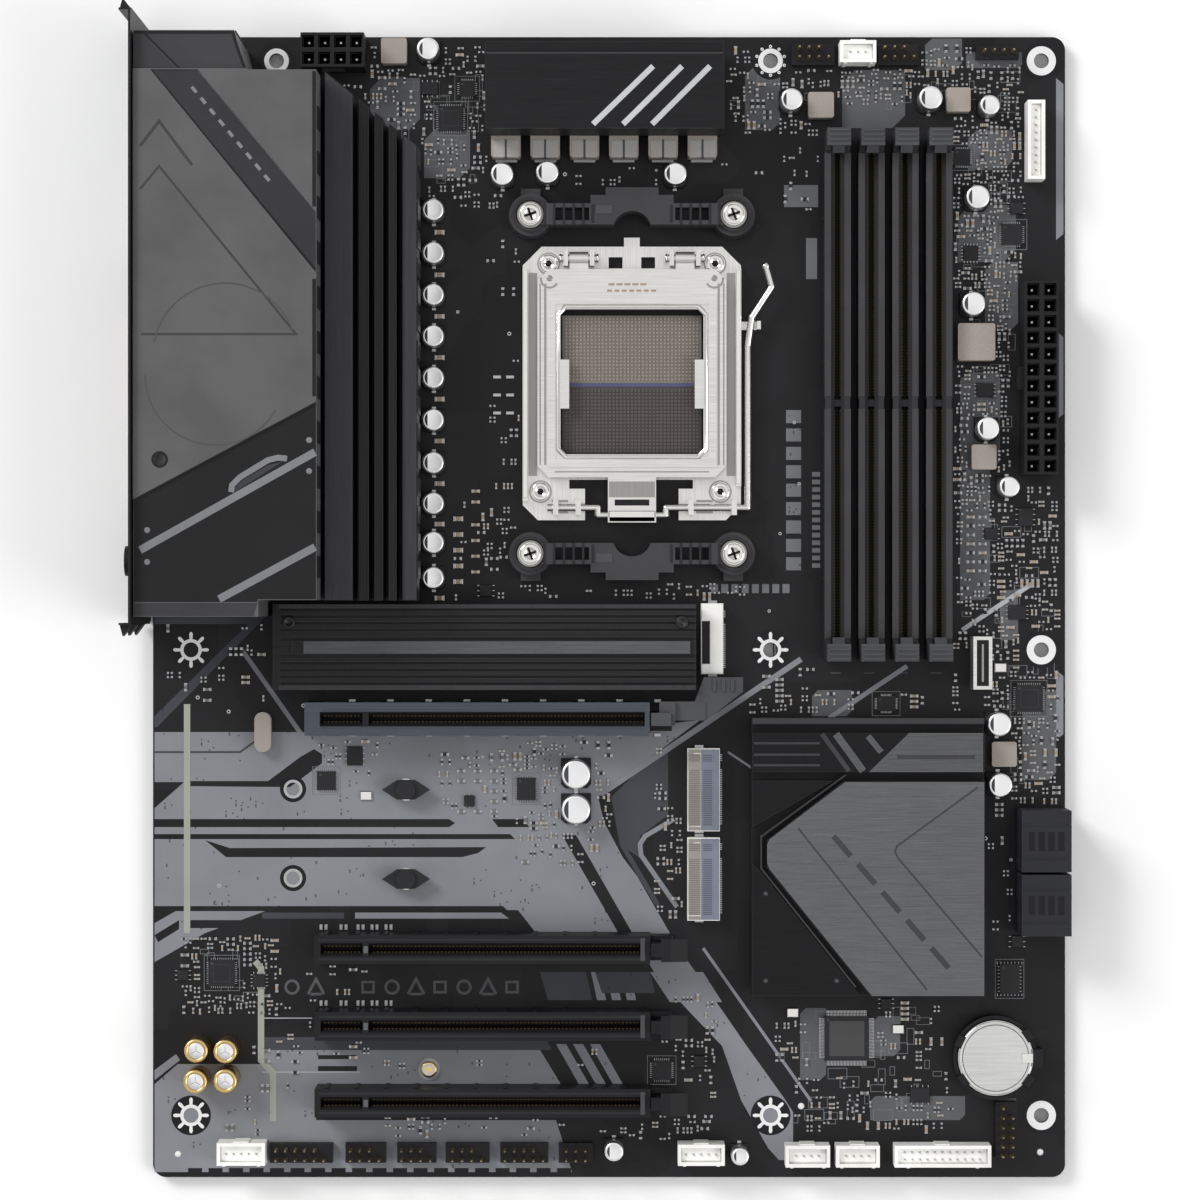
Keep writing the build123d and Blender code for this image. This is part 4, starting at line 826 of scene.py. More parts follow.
# stars of pads round the mounting holes, white as painted reflection of the tin; the inner ring also stands, as painted
# light, for the bright floor seen through the hole
for u, v in ((10.16, 16.51), (165.10, 16.51), (10.16, 140.97), (165.10, 140.97)):
    piece("hole_clear", "print_black").annulus(u, v, 1.99, 5.3, ZP, T + 0.07, 40)
    piece("hole_pads", "pad_white").annulus(u, v, 2.0, 2.9, ZP, T + 0.1, 32)
    for k in range(8):
        a = math.radians(45 * k)
        pts = []
        for r, d in ((2.85, -0.13), (2.85, 0.13), (4.2, 0.17), (4.75, 0.09), (4.75, -0.09), (4.2, -0.17)):
            aa = a + d / (r / 2.85)
            pts.append((u + r * math.cos(aa), v + r * math.sin(aa)))
        piece("hole_pads", "pad_white").prism(pts, ZP, T + 0.105)
# white pad rings as painted reflection of the tin and of the bright floor seen through the hole
for u, v in ((237.49, 16.51), (237.49, 140.97), (33.02, 298.45), (165.10, 298.45), (237.49, 298.45)):
    piece("hole_clear", "print_black").annulus(u, v, 1.99, 5.0, ZP, T + 0.07, 40)
    piece("hole_pads", "pad_white").annulus(u, v, 2.0, 3.9 if u > 200 else 3.3, ZP, T + 0.1, 40)
    for k in range(0 if u > 200 or u < 40 else 10):
        a = 2 * math.pi * (k + 0.5) / 10
        piece("hole_pads", "pad_white").annulus(u + 3.85 * math.cos(a), v + 3.85 * math.sin(a), 0.16, 0.42, ZP, T + 0.1, 12)

# a row of plain outlines between two card slots, and rows of bare pads above the slots
for k in range(9):
    x, y = 292 + 24.0 * k + (28 if k > 1 else 0), 987.0
    block((x - 153) / 3.74 - 2.6, (x - 153) / 3.74 + 2.6, (1177 - y) / 3.74 - 2.3, (1177 - y) / 3.74 + 2.3)
    if k % 3 == 0:
        LAYER[0] += 1
        piece("plain_marks", "mark_grey").annulus((x - 153) / 3.74, (1177 - y) / 3.74, 1.35, 2.05, ZP, T + 0.03 + 0.0003 * LAYER[0], 28)
    elif k % 3 == 1:
        line("mark_grey", [(x - 8, y + 7), (x, y - 8), (x + 8, y + 7)], 0.75)
        line("mark_grey", [(x - 5.6, y + 7), (x + 5.6, y + 7)], 0.7, 2)
    else:
        LAYER[0] += 1
        a, b = (x - 153) / 3.74, (1177 - y) / 3.74
        piece("plain_marks", "mark_grey").frame_ring(a - 1.8, a + 1.8, b - 1.7, b + 1.7, 0.65, ZP, T + 0.03 + 0.0003 * LAYER[0])
for y in (927.0, 1003.0):
    for x in (321, 326, 341, 346, 358, 363, 372, 377, 386, 391):
        piece("row_pads", "solder").rbox((x - 153) / 3.74, (1177 - y) / 3.74, 0.8, 1.5, ZP, T + 0.13, 0, 0.05)
        block((x - 153) / 3.74 - 0.6, (x - 153) / 3.74 + 0.6, (1177 - y) / 3.74 - 0.9, (1177 - y) / 3.74 + 0.9, 0)
# a soldered drive nut with a bare ring, and plain locating dots
nu, nv = (429 - 153) / 3.74, (1177 - 1069) / 3.74
block(nu - 3.2, nu + 3.2, nv - 3.2, nv + 3.2)
piece("nut_pad", "print_white").annulus(nu, nv, 1.2, 2.9, ZP, T + 0.16, 36)
piece("drive_nut", "trace_gold").lathe(nu, nv, [(2.1, T + 0.1), (2.1, T + 1.25), (1.95, T + 1.4), (1.5, T + 1.4)], 36)
piece("drive_nut_top", "pad_white").annulus(nu, nv, 0.85, 1.55, T + 1.0, T + 1.44, 32)
for x, y in ((178, 1154), (1040, 1152), (801, 1106)):
    a, b = (x - 153) / 3.74, (1177 - y) / 3.74
    block(a - 1.4, a + 1.4, b - 1.4, b + 1.4)
    piece("locating_dots", "pad_white").lathe(a, b, [(0.85, ZP), (0.85, T + 0.17), (0.03, T + 0.172)], 20)
for y in (377, 395, 413):
    for x in (497, 510):
        a, b = (x - 153) / 3.74, (1177 - y) / 3.74
        if free(a - 1.0, a + 1.0, b - 0.6, b + 0.6):
            piece("row_pads", "solder").rbox(a, b, 2.2, 0.9, ZP, T + 0.5, 0, 0.1)
            block(a - 1.2, a + 1.2, b - 0.6, b + 0.6, 0)

# ------------------------------------------------------------------ small surface parts
def passive(u, v, ang, size, kind):
    """A two-ended chip part: body, two tinned ends, solder fillets."""
    L, W, H = {"0402": (1.0, 0.5, 0.4), "0603": (1.6, 0.8, 0.55), "0805": (2.0, 1.25, 0.8), "1206": (3.2, 1.6, 0.9)}[size]
    mat = {"c": "ceramic_tan", "g": "ceramic_grey", "r": "resistor"}[kind]
    ca, sa = math.cos(math.radians(ang)), math.sin(math.radians(ang))
    e = L * 0.22
    piece("smd_body_" + kind, mat).rbox(u, v, L - 2 * e + 0.02, W * 0.97, T + 0.03, T + H * 0.97, ang, W * 0.06)
    for s in (-1, 1):
        d = s * (L / 2 - e / 2)
        piece("smd_ends", "solder").rbox(u + d * ca, v + d * sa, e, W, T, T + H, ang, W * 0.07)
        d2 = s * (L / 2 + 0.12)
        piece("smd_pads", "solder").rbox(u + d2 * ca, v + d2 * sa, 0.42, W + 0.12, ZP, T + 0.10, ang, 0.05)


def small_ic(u, v, w, h, ang=0, z=0.9, pins=4, lead=0.75, both=False):
    """A small moulded chip with gull leads on two sides, or on four."""
    piece("ic_bodies", "chip").rbox(u, v, w, h, T + 0.06, T + z, ang, 0.16)
    ca, sa = math.cos(math.radians(ang)), math.sin(math.radians(ang))
    def lead_at(a, b, along):
        x, y = u + a * ca - b * sa, v + a * sa + b * ca
        lw, lh = (lead, 0.26) if along else (0.26, lead)
        piece("ic_leads", "solder").rbox(x, y, lw, lh, ZP, T + 0.2, ang, 0.05)
    for k in range(pins):
        t = (k - (pins - 1) / 2) * (h * 0.86 / max(1, pins - 1) if pins > 1 else 0)
        for s in (-1, 1):
            lead_at(s * (w / 2 + lead * 0.35), t, True)
            if both:
                lead_at(t * w / h, s * (h / 2 + lead * 0.35), False)
    piece("ic_marks", "print_mid").lathe(u + (-w / 2 + 0.55) * ca - (h / 2 - 0.55) * sa, v + (-w / 2 + 0.55) * sa + (h / 2 - 0.55) * ca, [(0.22, T + z - 0.02), (0.22, T + z + 0.012)], 12)


def via(u, v, r=0.24):
    piece("vias", "trace_dark").annulus(u, v, r * 0.45, r, ZP, T + 0.03, 8)


def via_tin(u, v, r=0.3):
    piece("vias_tin", "solder").annulus(u, v, r * 0.5, r, ZP, T + 0.04, 8)


def try_part(u, v, ang, size, kind):
    L, W = {"0402": (1.5, 0.7), "0603": (2.2, 1.0), "0805": (2.7, 1.5), "1206": (3.9, 1.9)}[size]
    if ang % 180 == 90:
        L, W = W, L
    if free(u - L / 2, u + L / 2, v - W / 2, v + W / 2):
        passive(u, v, ang, size, kind)
        block(u - L / 2, u + L / 2, v - W / 2, v + W / 2, 0.12)
        return True
    return False


def try_ic(u, v, w, h, ang=0, **kw):
    a, b = (w, h) if ang % 180 == 0 else (h, w)
    a, b = a + 1.8, b + (1.8 if kw.get("both") else 0.6)
    if free(u - a / 2, u + a / 2, v - b / 2, v + b / 2):
        small_ic(u, v, w, h, ang, **kw)
        block(u - a / 2, u + a / 2, v - b / 2, v + b / 2, 0.15)
        return True
    return False


def row(u, v, du, dv, n, ang, size="0402", kinds="cg", skip=0.08):
    for k in range(n):
        if rnd.random() > skip:
            try_part(u + du * k, v + dv * k, ang, size, rnd.choice(kinds))


def cluster(u0, u1, v0, v1, count, sizes=("0402", "0402", "0603"), kinds="cgrr", rows=True):
    """Parts in short aligned rows, as a router lays them out."""
    placed, tries = 0, 0
    while placed < count and tries < count * 14:
        tries += 1
        size = rnd.choice(sizes)
        ang = rnd.choice((0, 90))
        n = rnd.choice((1, 2, 3, 4, 5)) if rows else 1
        pitch = {"0402": 1.05, "0603": 1.45, "0805": 2.0, "1206": 2.4}[size]
        u, v = round(rnd.uniform(u0, u1) / 0.25) * 0.25, round(rnd.uniform(v0, v1) / 0.25) * 0.25
        kind = rnd.choice(kinds)
        for k in range(n):
            a, b = (u, v + pitch * k) if ang == 0 else (u + pitch * k, v)
            if u0 <= a <= u1 and v0 <= b <= v1 and try_part(a, b, ang, size, kind):
                placed += 1


# leads of the larger chips first, so that small parts keep clear
def quad_leads(u, v, w, h, n, lead=1.5, z=0.55, width=0.22):
    for k in range(n):
        t = (k - (n - 1) / 2) * ((h - 1.4) / (n - 1))
        for s in (-1, 1):
            for along in (True, False):
                a, b = (s * (w / 2 + lead * 0.42), t) if along else (t, s * (h / 2 + lead * 0.42))
                L = lead * 0.84
                uu, vv = u + a, v + b
                if along:
                    x0, x1 = sorted((u + s * (w / 2 - 0.05), u + s * (w / 2 + lead)))
                    xm = u + s * (w / 2 + lead * 0.45)
                    piece("qfp_leads", "solder").box(min(xm, u + s * (w / 2 + lead)), max(xm, u + s * (w / 2 + lead)), vv - width / 2, vv + width / 2, ZP, T + 0.16, 0.03)
                    piece("qfp_leads", "solder").box(min(u + s * (w / 2 - 0.05), xm), max(u + s * (w / 2 - 0.05), xm), vv - width / 2, vv + width / 2, T + 0.12, T + z, 0.03)
                else:
                    ym = v + s * (h / 2 + lead * 0.45)
                    piece("qfp_leads", "solder").box(uu - width / 2, uu + width / 2, min(ym, v + s * (h / 2 + lead)), max(ym, v + s * (h / 2 + lead)), ZP, T + 0.16, 0.03)
                    piece("qfp_leads", "solder").box(uu - width / 2, uu + width / 2, min(v + s * (h / 2 - 0.05), ym), max(v + s * (h / 2 - 0.05), ym), T + 0.12, T + z, 0.03)


block(178.0, 193.0, 29.5, 44.8)
block(13.6, 23.2, 49.8, 59.4)
for b in islands(NODES["controller_chips"]):
    w, h = b[1] - b[0], b[3] - b[2]
    cu, cv = (b[0] + b[1]) / 2, (b[2] + b[3]) / 2
    big = w > 10
    quad_leads(cu, cv, w, h, 28 if big else max(6, int(w / 0.62)), 1.5 if big else 0.55, 0.7 if big else 0.3, 0.22 if big else 0.2)
    m = 1.7 if big else 0.8
    block(b[0] - m, b[1] + m, b[2] - m, b[3] + m)
    piece("chip_marks", "print_mid").lathe(b[0] + 0.9, b[3] - 0.9, [(0.36, b[5] - 0.02), (0.36, b[5] + 0.01)], 16)
    # blank etched panel in place of lettering
    if w > 6:
        piece("chip_marks", "print_mid").frame_ring(b[0] + 1.2, b[1] - 1.2, b[2] + 1.2, b[3] - 1.2, 0.09, b[5] - 0.02, b[5] + 0.008)

# larger loose chips and power parts seen on the board
for u, v, w, h, ang, kw in (
        (58.0, 277.5 + 16, 3.2, 3.0, 0, dict(pins=3)), (86.0, 277.0, 4.0, 4.0, 0, dict(pins=5, both=True)), (74.0, 291.0, 3.4, 4.6, 90, dict(pins=4)),
        (222.4, 210.4, 4.6, 3.6, 0, dict(pins=4)), (218.6, 247.0, 4.0, 4.0, 0, dict(pins=5, both=True)), (233.2, 176.5, 4.0, 4.8, 0, dict(pins=4)),
        (224.0, 172.0, 3.6, 3.0, 0, dict(pins=3)), (216.0, 154.0, 4.4, 3.4, 90, dict(pins=4)), (231.0, 151.0, 4.8, 3.8, 0, dict(pins=4)),
        (205.0, 22.0, 4.0, 5.2, 90, dict(pins=4)), (196.0, 46.4, 3.0, 2.8, 0, dict(pins=3)), (176.0, 22.5, 3.4, 4.4, 0, dict(pins=4)),
        (146.0, 31.0, 3.0, 3.0, 0, dict(pins=3)), (150.6, 25.0, 5.0, 6.0, 0, dict(pins=4)), (100.5, 99.0, 3.2, 3.0, 0, dict(pins=3)),
        (84.6, 100.6, 3.0, 2.8, 90, dict(pins=3)), (54.0, 112.6, 4.2, 5.0, 0, dict(pins=4)), (40.6, 110.4, 3.0, 2.8, 90, dict(pins=3)),
        (28.4, 52.6, 3.4, 3.4, 0, dict(pins=4, both=True)), (8.0, 54.0, 3.0, 2.8, 0, dict(pins=3)), (200.0, 131.6, 4.4, 5.2, 90, dict(pins=4)),
        (230.8, 259.0, 3.6, 3.2, 0, dict(pins=3)), (222.0, 268.8, 4.4, 4.4, 0, dict(pins=5, both=True)), (165.4, 281.6, 3.2, 3.2, 0, dict(pins=3)),
        (89.0, 152.8 + 4, 3.4, 3.2, 0, dict(pins=3)), (100.6, 157.8, 3.6, 2.8, 90, dict(pins=3)), (231.0, 63.0, 3.2, 3.2, 0, dict(pins=3))):
    try_ic(u, v, w, h, ang, **kw)

# metal-can crystals
for u, v, w, h in ((24.2, 50.0, 3.2, 2.5), (199.2, 39.6, 3.2, 2.5), (171.0, 44.0, 3.2, 2.5), (226.6, 136.2, 3.2, 2.5), (57.0, 102.0, 3.2, 2.5)):
    if free(u - w / 2, u + w / 2, v - h / 2, v + h / 2):
        piece("metal_crystals", "steel_bright").rbox(u, v, w, h, T, T + 0.75, 0, 0.22)
        block(u - w / 2, u + w / 2, v - h / 2, v + h / 2)

# decoupling rows
for k in range(10):
    v = (258.0, 246.6, 235.5, 224.5, 213.4, 202.2, 190.8, 180.0, 169.6, 160.2)[k]
    try_part(76.6, v - 5.4, 0, "0805", "c")
for k in range(5):
    try_part(81.6, 176.0 - 4.2 * k, 0, "0805", "c")
    try_part(86.2, 174.4 - 4.2 * k, 0, "0603", "c")
for v in (214.6, 209.2, 203.9):
    for u in (92.0, 95.4):
        try_part(u, v, 90, "0603", "g")
for k in range(8):
    try_part(134.4 + 2.9 * (k % 4), 26.0 + 4.6 * (k // 4), 0, "0603", "c")
for k in range(3):
    for j in range(5):
        try_part(82.4 + 4.4 * k, 108.6 - 2.7 * j, 0, "0603", "g")
row(100.6, 243.0, 0, -1.15, 9, 0, "0402", "c")
row(103.0, 250.8, 1.1, 0, 16, 90, "0402", "c")
row(136.0, 250.8, 1.1, 0, 14, 90, "0402", "c")
row(108.0, 172.9, 1.1, 0, 12, 90, "0402", "cg")
row(132.0, 172.9, 1.1, 0, 10, 90, "0402", "cg")
for k in range(14):
    try_part(218.6 + (k % 2) * 3.2, 176.5 - 2.4 * (k // 2), 0, "0603", "cgr"[k % 3])
cluster(50.0, 93.0, 259.5, 302.5, 120)
cluster(53.0, 66.0, 293.5, 302.5, 26)
cluster(154.0, 181.0, 279.0, 302.5, 60)
cluster(183.0, 232.0, 283.0, 302.5, 110)
cluster(214.5, 232.0, 240.0, 284.0, 150)
cluster(214.5, 230.0, 178.0, 240.0, 130)
cluster(214.5, 242.0, 140.0, 184.0, 150)
cluster(222.5, 242.0, 100.0, 140.0, 90)
cluster(224.0, 230.0, 48.0, 100.0, 12)
cluster(150.0, 216.0, 124.0, 136.0, 46)
cluster(172.0, 214.0, 12.0, 27.0, 70)
cluster(166.0, 176.0, 27.0, 46.0, 16)
cluster(194.0, 212.0, 27.0, 47.0, 26)
cluster(136.0, 150.0, 10.0, 48.0, 44)
cluster(8.0, 34.0, 44.0, 64.0, 90)
cluster(14.0, 34.0, 10.6, 26.0, 10)
cluster(26.0, 42.0, 24.0, 46.0, 14)
cluster(40.0, 132.0, 25.4, 37.0, 14)
cluster(40.0, 60.0, 46.0, 57.4, 8)
cluster(60.0, 136.0, 9.8, 16.8, 30)
cluster(98.0, 120.0, 84.0, 95.0, 34)
cluster(96.0, 122.0, 93.0, 116.5, 56)
cluster(74.0, 96.0, 96.0, 114.0, 26)
cluster(44.0, 60.0, 108.0, 116.5, 12)
cluster(134.0, 142.0, 70.0, 116.0, 40)
cluster(78.0, 98.0, 154.6, 185.0, 34)
cluster(90.0, 98.0, 185.0, 262.0, 18)
cluster(98.0, 160.0, 154.6, 166.0, 30)
cluster(96.0, 164.0, 262.5, 271.0, 10)
cluster(168.0, 179.0, 255.0, 280.0, 10, rows=False)
cluster(2.0, 30.0, 126.0, 148.0, 22)
# silk outlines round the chips and some of the groups
for b in islands(NODES["controller_chips"]):
    if b[1] - b[0] > 10:
        piece("chip_tops", "chip_top").box(b[0] + 1.3, b[1] - 1.3, b[2] + 1.3, b[3] - 1.3, b[5] - 0.02, b[5] + 0.012)
        continue
    piece("silk_frames", "silk_grey").frame_ring(b[0] - 1.3, b[1] + 1.3, b[2] - 1.3, b[3] + 1.3, 0.16, ZP, T + 0.045)
r3 = random.Random(91)
for x0, y0, x1, y1 in ((214.5, 178.0, 231.0, 284.0), (183.0, 284.0, 232.0, 296.0), (214.5, 140.0, 242.0, 178.0), (56.0, 262.0, 90.0, 296.0), (222.5, 104.0, 242.0, 138.0),
                       (166.0, 14.0, 212.0, 46.0), (10.0, 46.0, 34.0, 62.0), (154.0, 284.0, 180.0, 296.0)):
    for _ in range(int((x1 - x0) * (y1 - y0) / 42)):
        w, h = r3.choice(((2.4, 1.4), (1.4, 2.4), (3.6, 2.0), (2.0, 4.4), (5.2, 3.0)))
        u, v = r3.uniform(x0, x1 - w), r3.uniform(y0, y1 - h)
        piece("silk_frames", "silk_grey").frame_ring(u, u + w, v, v + h, 0.15, ZP, T + 0.044 + 0.00002 * r3.randint(0, 90))
# vias everywhere that is left
for _ in range(1500):
    u, v = rnd.uniform(2, 241), rnd.uniform(2, 303)
    if free(u - 0.3, u + 0.3, v - 0.3, v + 0.3):
        n = rnd.choice((1, 1, 2, 3, 4))
        for k in range(n):
            via(u + 0.9 * k if k % 2 == 0 else u, v + (0.45 * k), 0.22)
for _ in range(90):
    u, v = rnd.uniform(4, 240), rnd.uniform(4, 301)
    if free(u - 0.5, u + 0.5, v - 0.5, v + 0.5):
        via_tin(u, v, rnd.choice((0.35, 0.45, 0.55)))
        block(u - 0.5, u + 0.5, v - 0.5, v + 0.5, 0)

# ------------------------------------------------------------------ capacitors, built in place of the plain ones
for b in islands(NODES["capacitors"]):
    cu, cv, r, zt = (b[0] + b[1]) / 2, (b[2] + b[3]) / 2, (b[1] - b[0]) / 2, b[5]
    if zt > T + 9:
        # through-hole can with a gilt sleeve
        piece("audio_cap_sleeves", "trace_gold").lathe(cu, cv, [(r - 0.35, T), (r - 0.05, T + 0.15), (r, T + 0.7), (r - 0.28, T + 1.3), (r - 0.28, T + 1.8), (r, T + 2.3), (r, zt - 0.45), (r - 0.12, zt - 0.12), (r - 0.42, zt),
                                                                (r - 0.98, zt - 0.05), (r - 1.02, zt - 0.3)], 40)
        piece("audio_cap_tops", "can").lathe(cu, cv, [(r - 1.0, T + 1.0), (r - 1.0, zt - 0.2), (r - 1.15, zt - 0.12), (0.05, zt - 0.14)], 40)
        for k in range(3):
            a = math.radians(90 + 120 * k)
            piece("audio_cap_scores", "print_mid").rbox(cu + 0.75 * math.cos(a), cv + 0.75 * math.sin(a), 1.35, 0.1, zt - 0.16, zt - 0.115, math.degrees(a), 0.0)
        continue
    base = [(cu - r, cv - r + 1.1), (cu - r + 1.1, cv - r), (cu + r - 1.1, cv - r), (cu + r, cv - r + 1.1), (cu + r, cv + r), (cu - r, cv + r)]
    piece("cap_bases", "plastic_black").prism(base, T, T + 0.95, 0.15)
    q = r - 0.12
    piece("cap_cans", "can").lathe(cu, cv, [(q - 0.25, T + 0.9), (q - 0.02, T + 1.0), (q, T + 1.25), (q - 0.22, T + 1.6), (q - 0.22, T + 1.95), (q, T + 2.3), (q, zt - 0.55), (q - 0.08, zt - 0.25), (q - 0.28, zt - 0.06),
                                            (q - 0.5, zt), (q - 0.7, zt - 0.05), (0.05, zt - 0.07)], 40)
    # printed polarity segment on the top
    seg = []
    for k in range(13):
        a = math.radians(128 + 104 * k / 12)
        seg.append((cu + (q - 0.72) * math.cos(a), cv + (q - 0.72) * math.sin(a)))
    piece("cap_marks", "print_mid").prism(seg, zt - 0.09, zt - 0.045)
    for s in (-1, 1):
        piece("cap_feet", "solder").rbox(cu, cv + s * (r + 0.25), 1.1, 0.9, ZP, T + 0.32, 0, 0.06)

# ------------------------------------------------------------------ pins and contacts
def pin(name, u, v, z0, z1, w=0.64, mat="trace_gold"):
    h = w / 2
    piece(name, mat).ring_stack([[(u - h, v - h, z0), (u + h, v - h, z0), (u + h, v + h, z0), (u - h, v + h, z0)],
                                 [(u - h, v - h, z1 - 0.45), (u + h, v - h, z1 - 0.45), (u + h, v + h, z1 - 0.45), (u - h, v + h, z1 - 0.45)],
                                 [(u - h * 0.45, v - h * 0.45, z1), (u + h * 0.45, v - h * 0.45, z1), (u + h * 0.45, v + h * 0.45, z1), (u - h * 0.45, v + h * 0.45, z1)]])


for b in islands(NODES["pin_headers"]):
    w, h = b[1] - b[0], b[3] - b[2]
    nu, nv = max(1, int((w + 0.4) / 2.54)), max(1, int((h + 0.4) / 2.54))
    cu, cv = (b[0] + b[1]) / 2, (b[2] + b[3]) / 2
    for i in range(nu):
        for j in range(nv):
            if nu * nv > 6 and (i, j) == (nu - 1, nv - 1):
                continue
            pin("header_pins", cu + 2.54 * (i - (nu - 1) / 2), cv + 2.54 * (j - (nv - 1) / 2), b[5] - 0.05, T + 8.4, 0.64, "pin_dim")
    # break-off notches between the cells
    for i in range(1, nu):
        u = cu + 2.54 * (i - nu / 2)
        for s in (b[2] - 0.02, b[3] - 0.3):
            piece("header_notches", "plastic_charcoal").box(u - 0.22, u + 0.22, s, s + 0.32, T + 0.1, b[5] + 0.02)
for b in islands(NODES["white_headers"]):
    w, h = b[1] - b[0], b[3] - b[2]
    cu, cv = (b[0] + b[1]) / 2, (b[2] + b[3]) / 2
    long_u = w > h
    n = max(3, int((max(w, h) - 2.2) / 2.0))
    rows = 1 if min(w, h) < 5 else 2 if max(w, h) > 20 else 1
    for k in range(n):
        for r in range(rows):
            d, e = 2.0 * (k - (n - 1) / 2), (1.9 * (r - 0.5) if rows == 2 else 0)
            pin("white_header_pins", cu + (d if long_u else e), cv + (e if long_u else d), b[5] - 1.6, b[5] - 0.9, 0.5, "solder")
    piece("white_header_cores", "plastic_white").box(b[0] + 1.0, b[1] - 1.0, b[2] + 1.0, b[3] - 1.0, T + 2.0, b[5] - 1.5, 0.2)
    # latch ramp and outer ribs
    if long_u:
        piece("white_header_ribs", "plastic_white").box(cu - 2.0, cu + 2.0, b[3] - 0.02, b[3] + 0.35, T + 0.4, b[5] - 0.6, 0.1)
        for s in (-1, 1):
            piece("white_header_ribs", "plastic_white").box(cu + s * w * 0.36 - 0.4, cu + s * w * 0.36 + 0.4, b[2] - 0.3, b[2] + 0.02, T + 0.4, b[5] - 0.4, 0.1)

# board power sockets: a pin in every cell, keyed cell mouths
def power_cells(name, u0, u1, v0, v1, nu, nv):
    pu, pv = (u1 - u0) / nu, (v1 - v0) / nv
    for i in range(nu):
        for j in range(nv):
            a, b = u0 + pu * (i + 0.5), v0 + pv * (j + 0.5)
            pin(name + "_pins", a, b, T + 2.4, T + 9.6, 1.14, "solder")
            piece(name + "_collars", "plastic_black").frame_ring(a - 1.52, a + 1.52, b - 1.52, b + 1.52, 0.16, T + 3.0, T + 11.4)
    for j in range(nv + 1):
        b = v0 + pv * j
        piece(name + "_ribs", "plastic_black").box(u0 + 0.1, u1 - 0.1, b - 0.16, b + 0.16, T + 12.7, T + 12.86, 0.05)


power_cells("atx", 231.6, 240.6, 187.6, 238.4, 2, 12)
power_cells("cpu_power", 40.4, 57.2, 295.2, 304.0, 4, 2)

# memory slots: sprung contacts in the groove, rails on top and ribs on the outer walls
for i in range(4):
    uc = 182.5 + 8.97 * i
    v = 144.2
    while v < 272.6:
        if abs(v - 206.6) > 1.5:
            for s in (-1, 1):
                # contacts in gold dimmed as painted shade for their place deep in the groove
                piece("dimm_contacts", "contact_gold").box(uc + s * 0.92, uc + s * 0.58, v - 0.2, v + 0.2, T + 3.4, T + 7.3, 0.08)
        v += 0.85
    for s in (-1, 1):
        for (a, b) in ((144.0, 205.0), (208.2, 272.8)):
            piece("dimm_rails", "dimm_rail").box(uc + s * 1.75, uc + s * 3.5, a, b, T + 8.6, T + 9.22, 0.12)
        k = 150.0
        while k < 270:
            piece("dimm_ribs", "dimm_plastic").box(uc + s * 3.23, uc + s * 3.46, k, k + 0.9, T + 0.3, T + 8.2, 0.06)
            k += 9.6
    # narrow paler number-free marker pads beside each slot's end
    piece("dimm_marks", "print_mid").box(uc - 1.4, uc + 1.4, 134.6, 135.0, ZP, T + 0.03)

# card slots: contacts, ribs on the outside walls
for n, vc in enumerate((122.8, 61.84, 41.52, 21.20)):
    u = 46.6
    while u < 131.0:
        if not 56.0 < u < 59.0:
            for s in (-1, 1):
                # contacts in gold dimmed as painted shade for their place deep in the slot
                piece("card_contacts", "contact_gold").box(u - 0.3, u + 0.3, vc + s * 0.97, vc + s * 0.62, T + 4.4, T + 9.4, 0.1)
        u += 1.0
    if n:
        k = 46.5
        while k < 131:
            for s in (-1, 1):
                piece("card_slot_ribs", "plastic_black").box(k, k + 1.1, vc + s * 3.73, vc + s * 3.98, T + 0.3, T + 9.6, 0.08)
            k += 7.9
        piece("slot_keys", "plate_grey").box(57.0, 58.1, vc - 0.92, vc + 0.92, T + 10.9, T + 11.27, 0.05)
        piece("slot_ends", "plastic_grey").box(130.2, 131.4, vc - 3.0, vc + 3.0, T + 11.15, T + 11.4, 0.08)
        for s in (-1, 1):
            piece("card_slot_lips", "plastic_charcoal").box(45.2, 131.8, vc + s * 2.2, vc + s * 2.9, T + 11.18, T + 11.34, 0.06)
    else:
        for s in (-1, 1):
            piece("armour_lips", "armour").box(46.0, 131.0, vc + s * 2.1, vc + s * 2.5, T + 11.78, T + 11.98, 0.06)
            for k in range(9):
                a = 46.8 + 10.2 * k
                piece("armour_dimples", "armour").box(a, a + 4.2, vc + s * 4.38, vc + s * 4.62, T + 3.2, T + 7.4, 0.1)
                piece("armour_tabs", "solder").box(a + 5.6, a + 7.4, vc + s * 4.1, vc + s * 5.0, ZP, T + 0.4, 0.06)

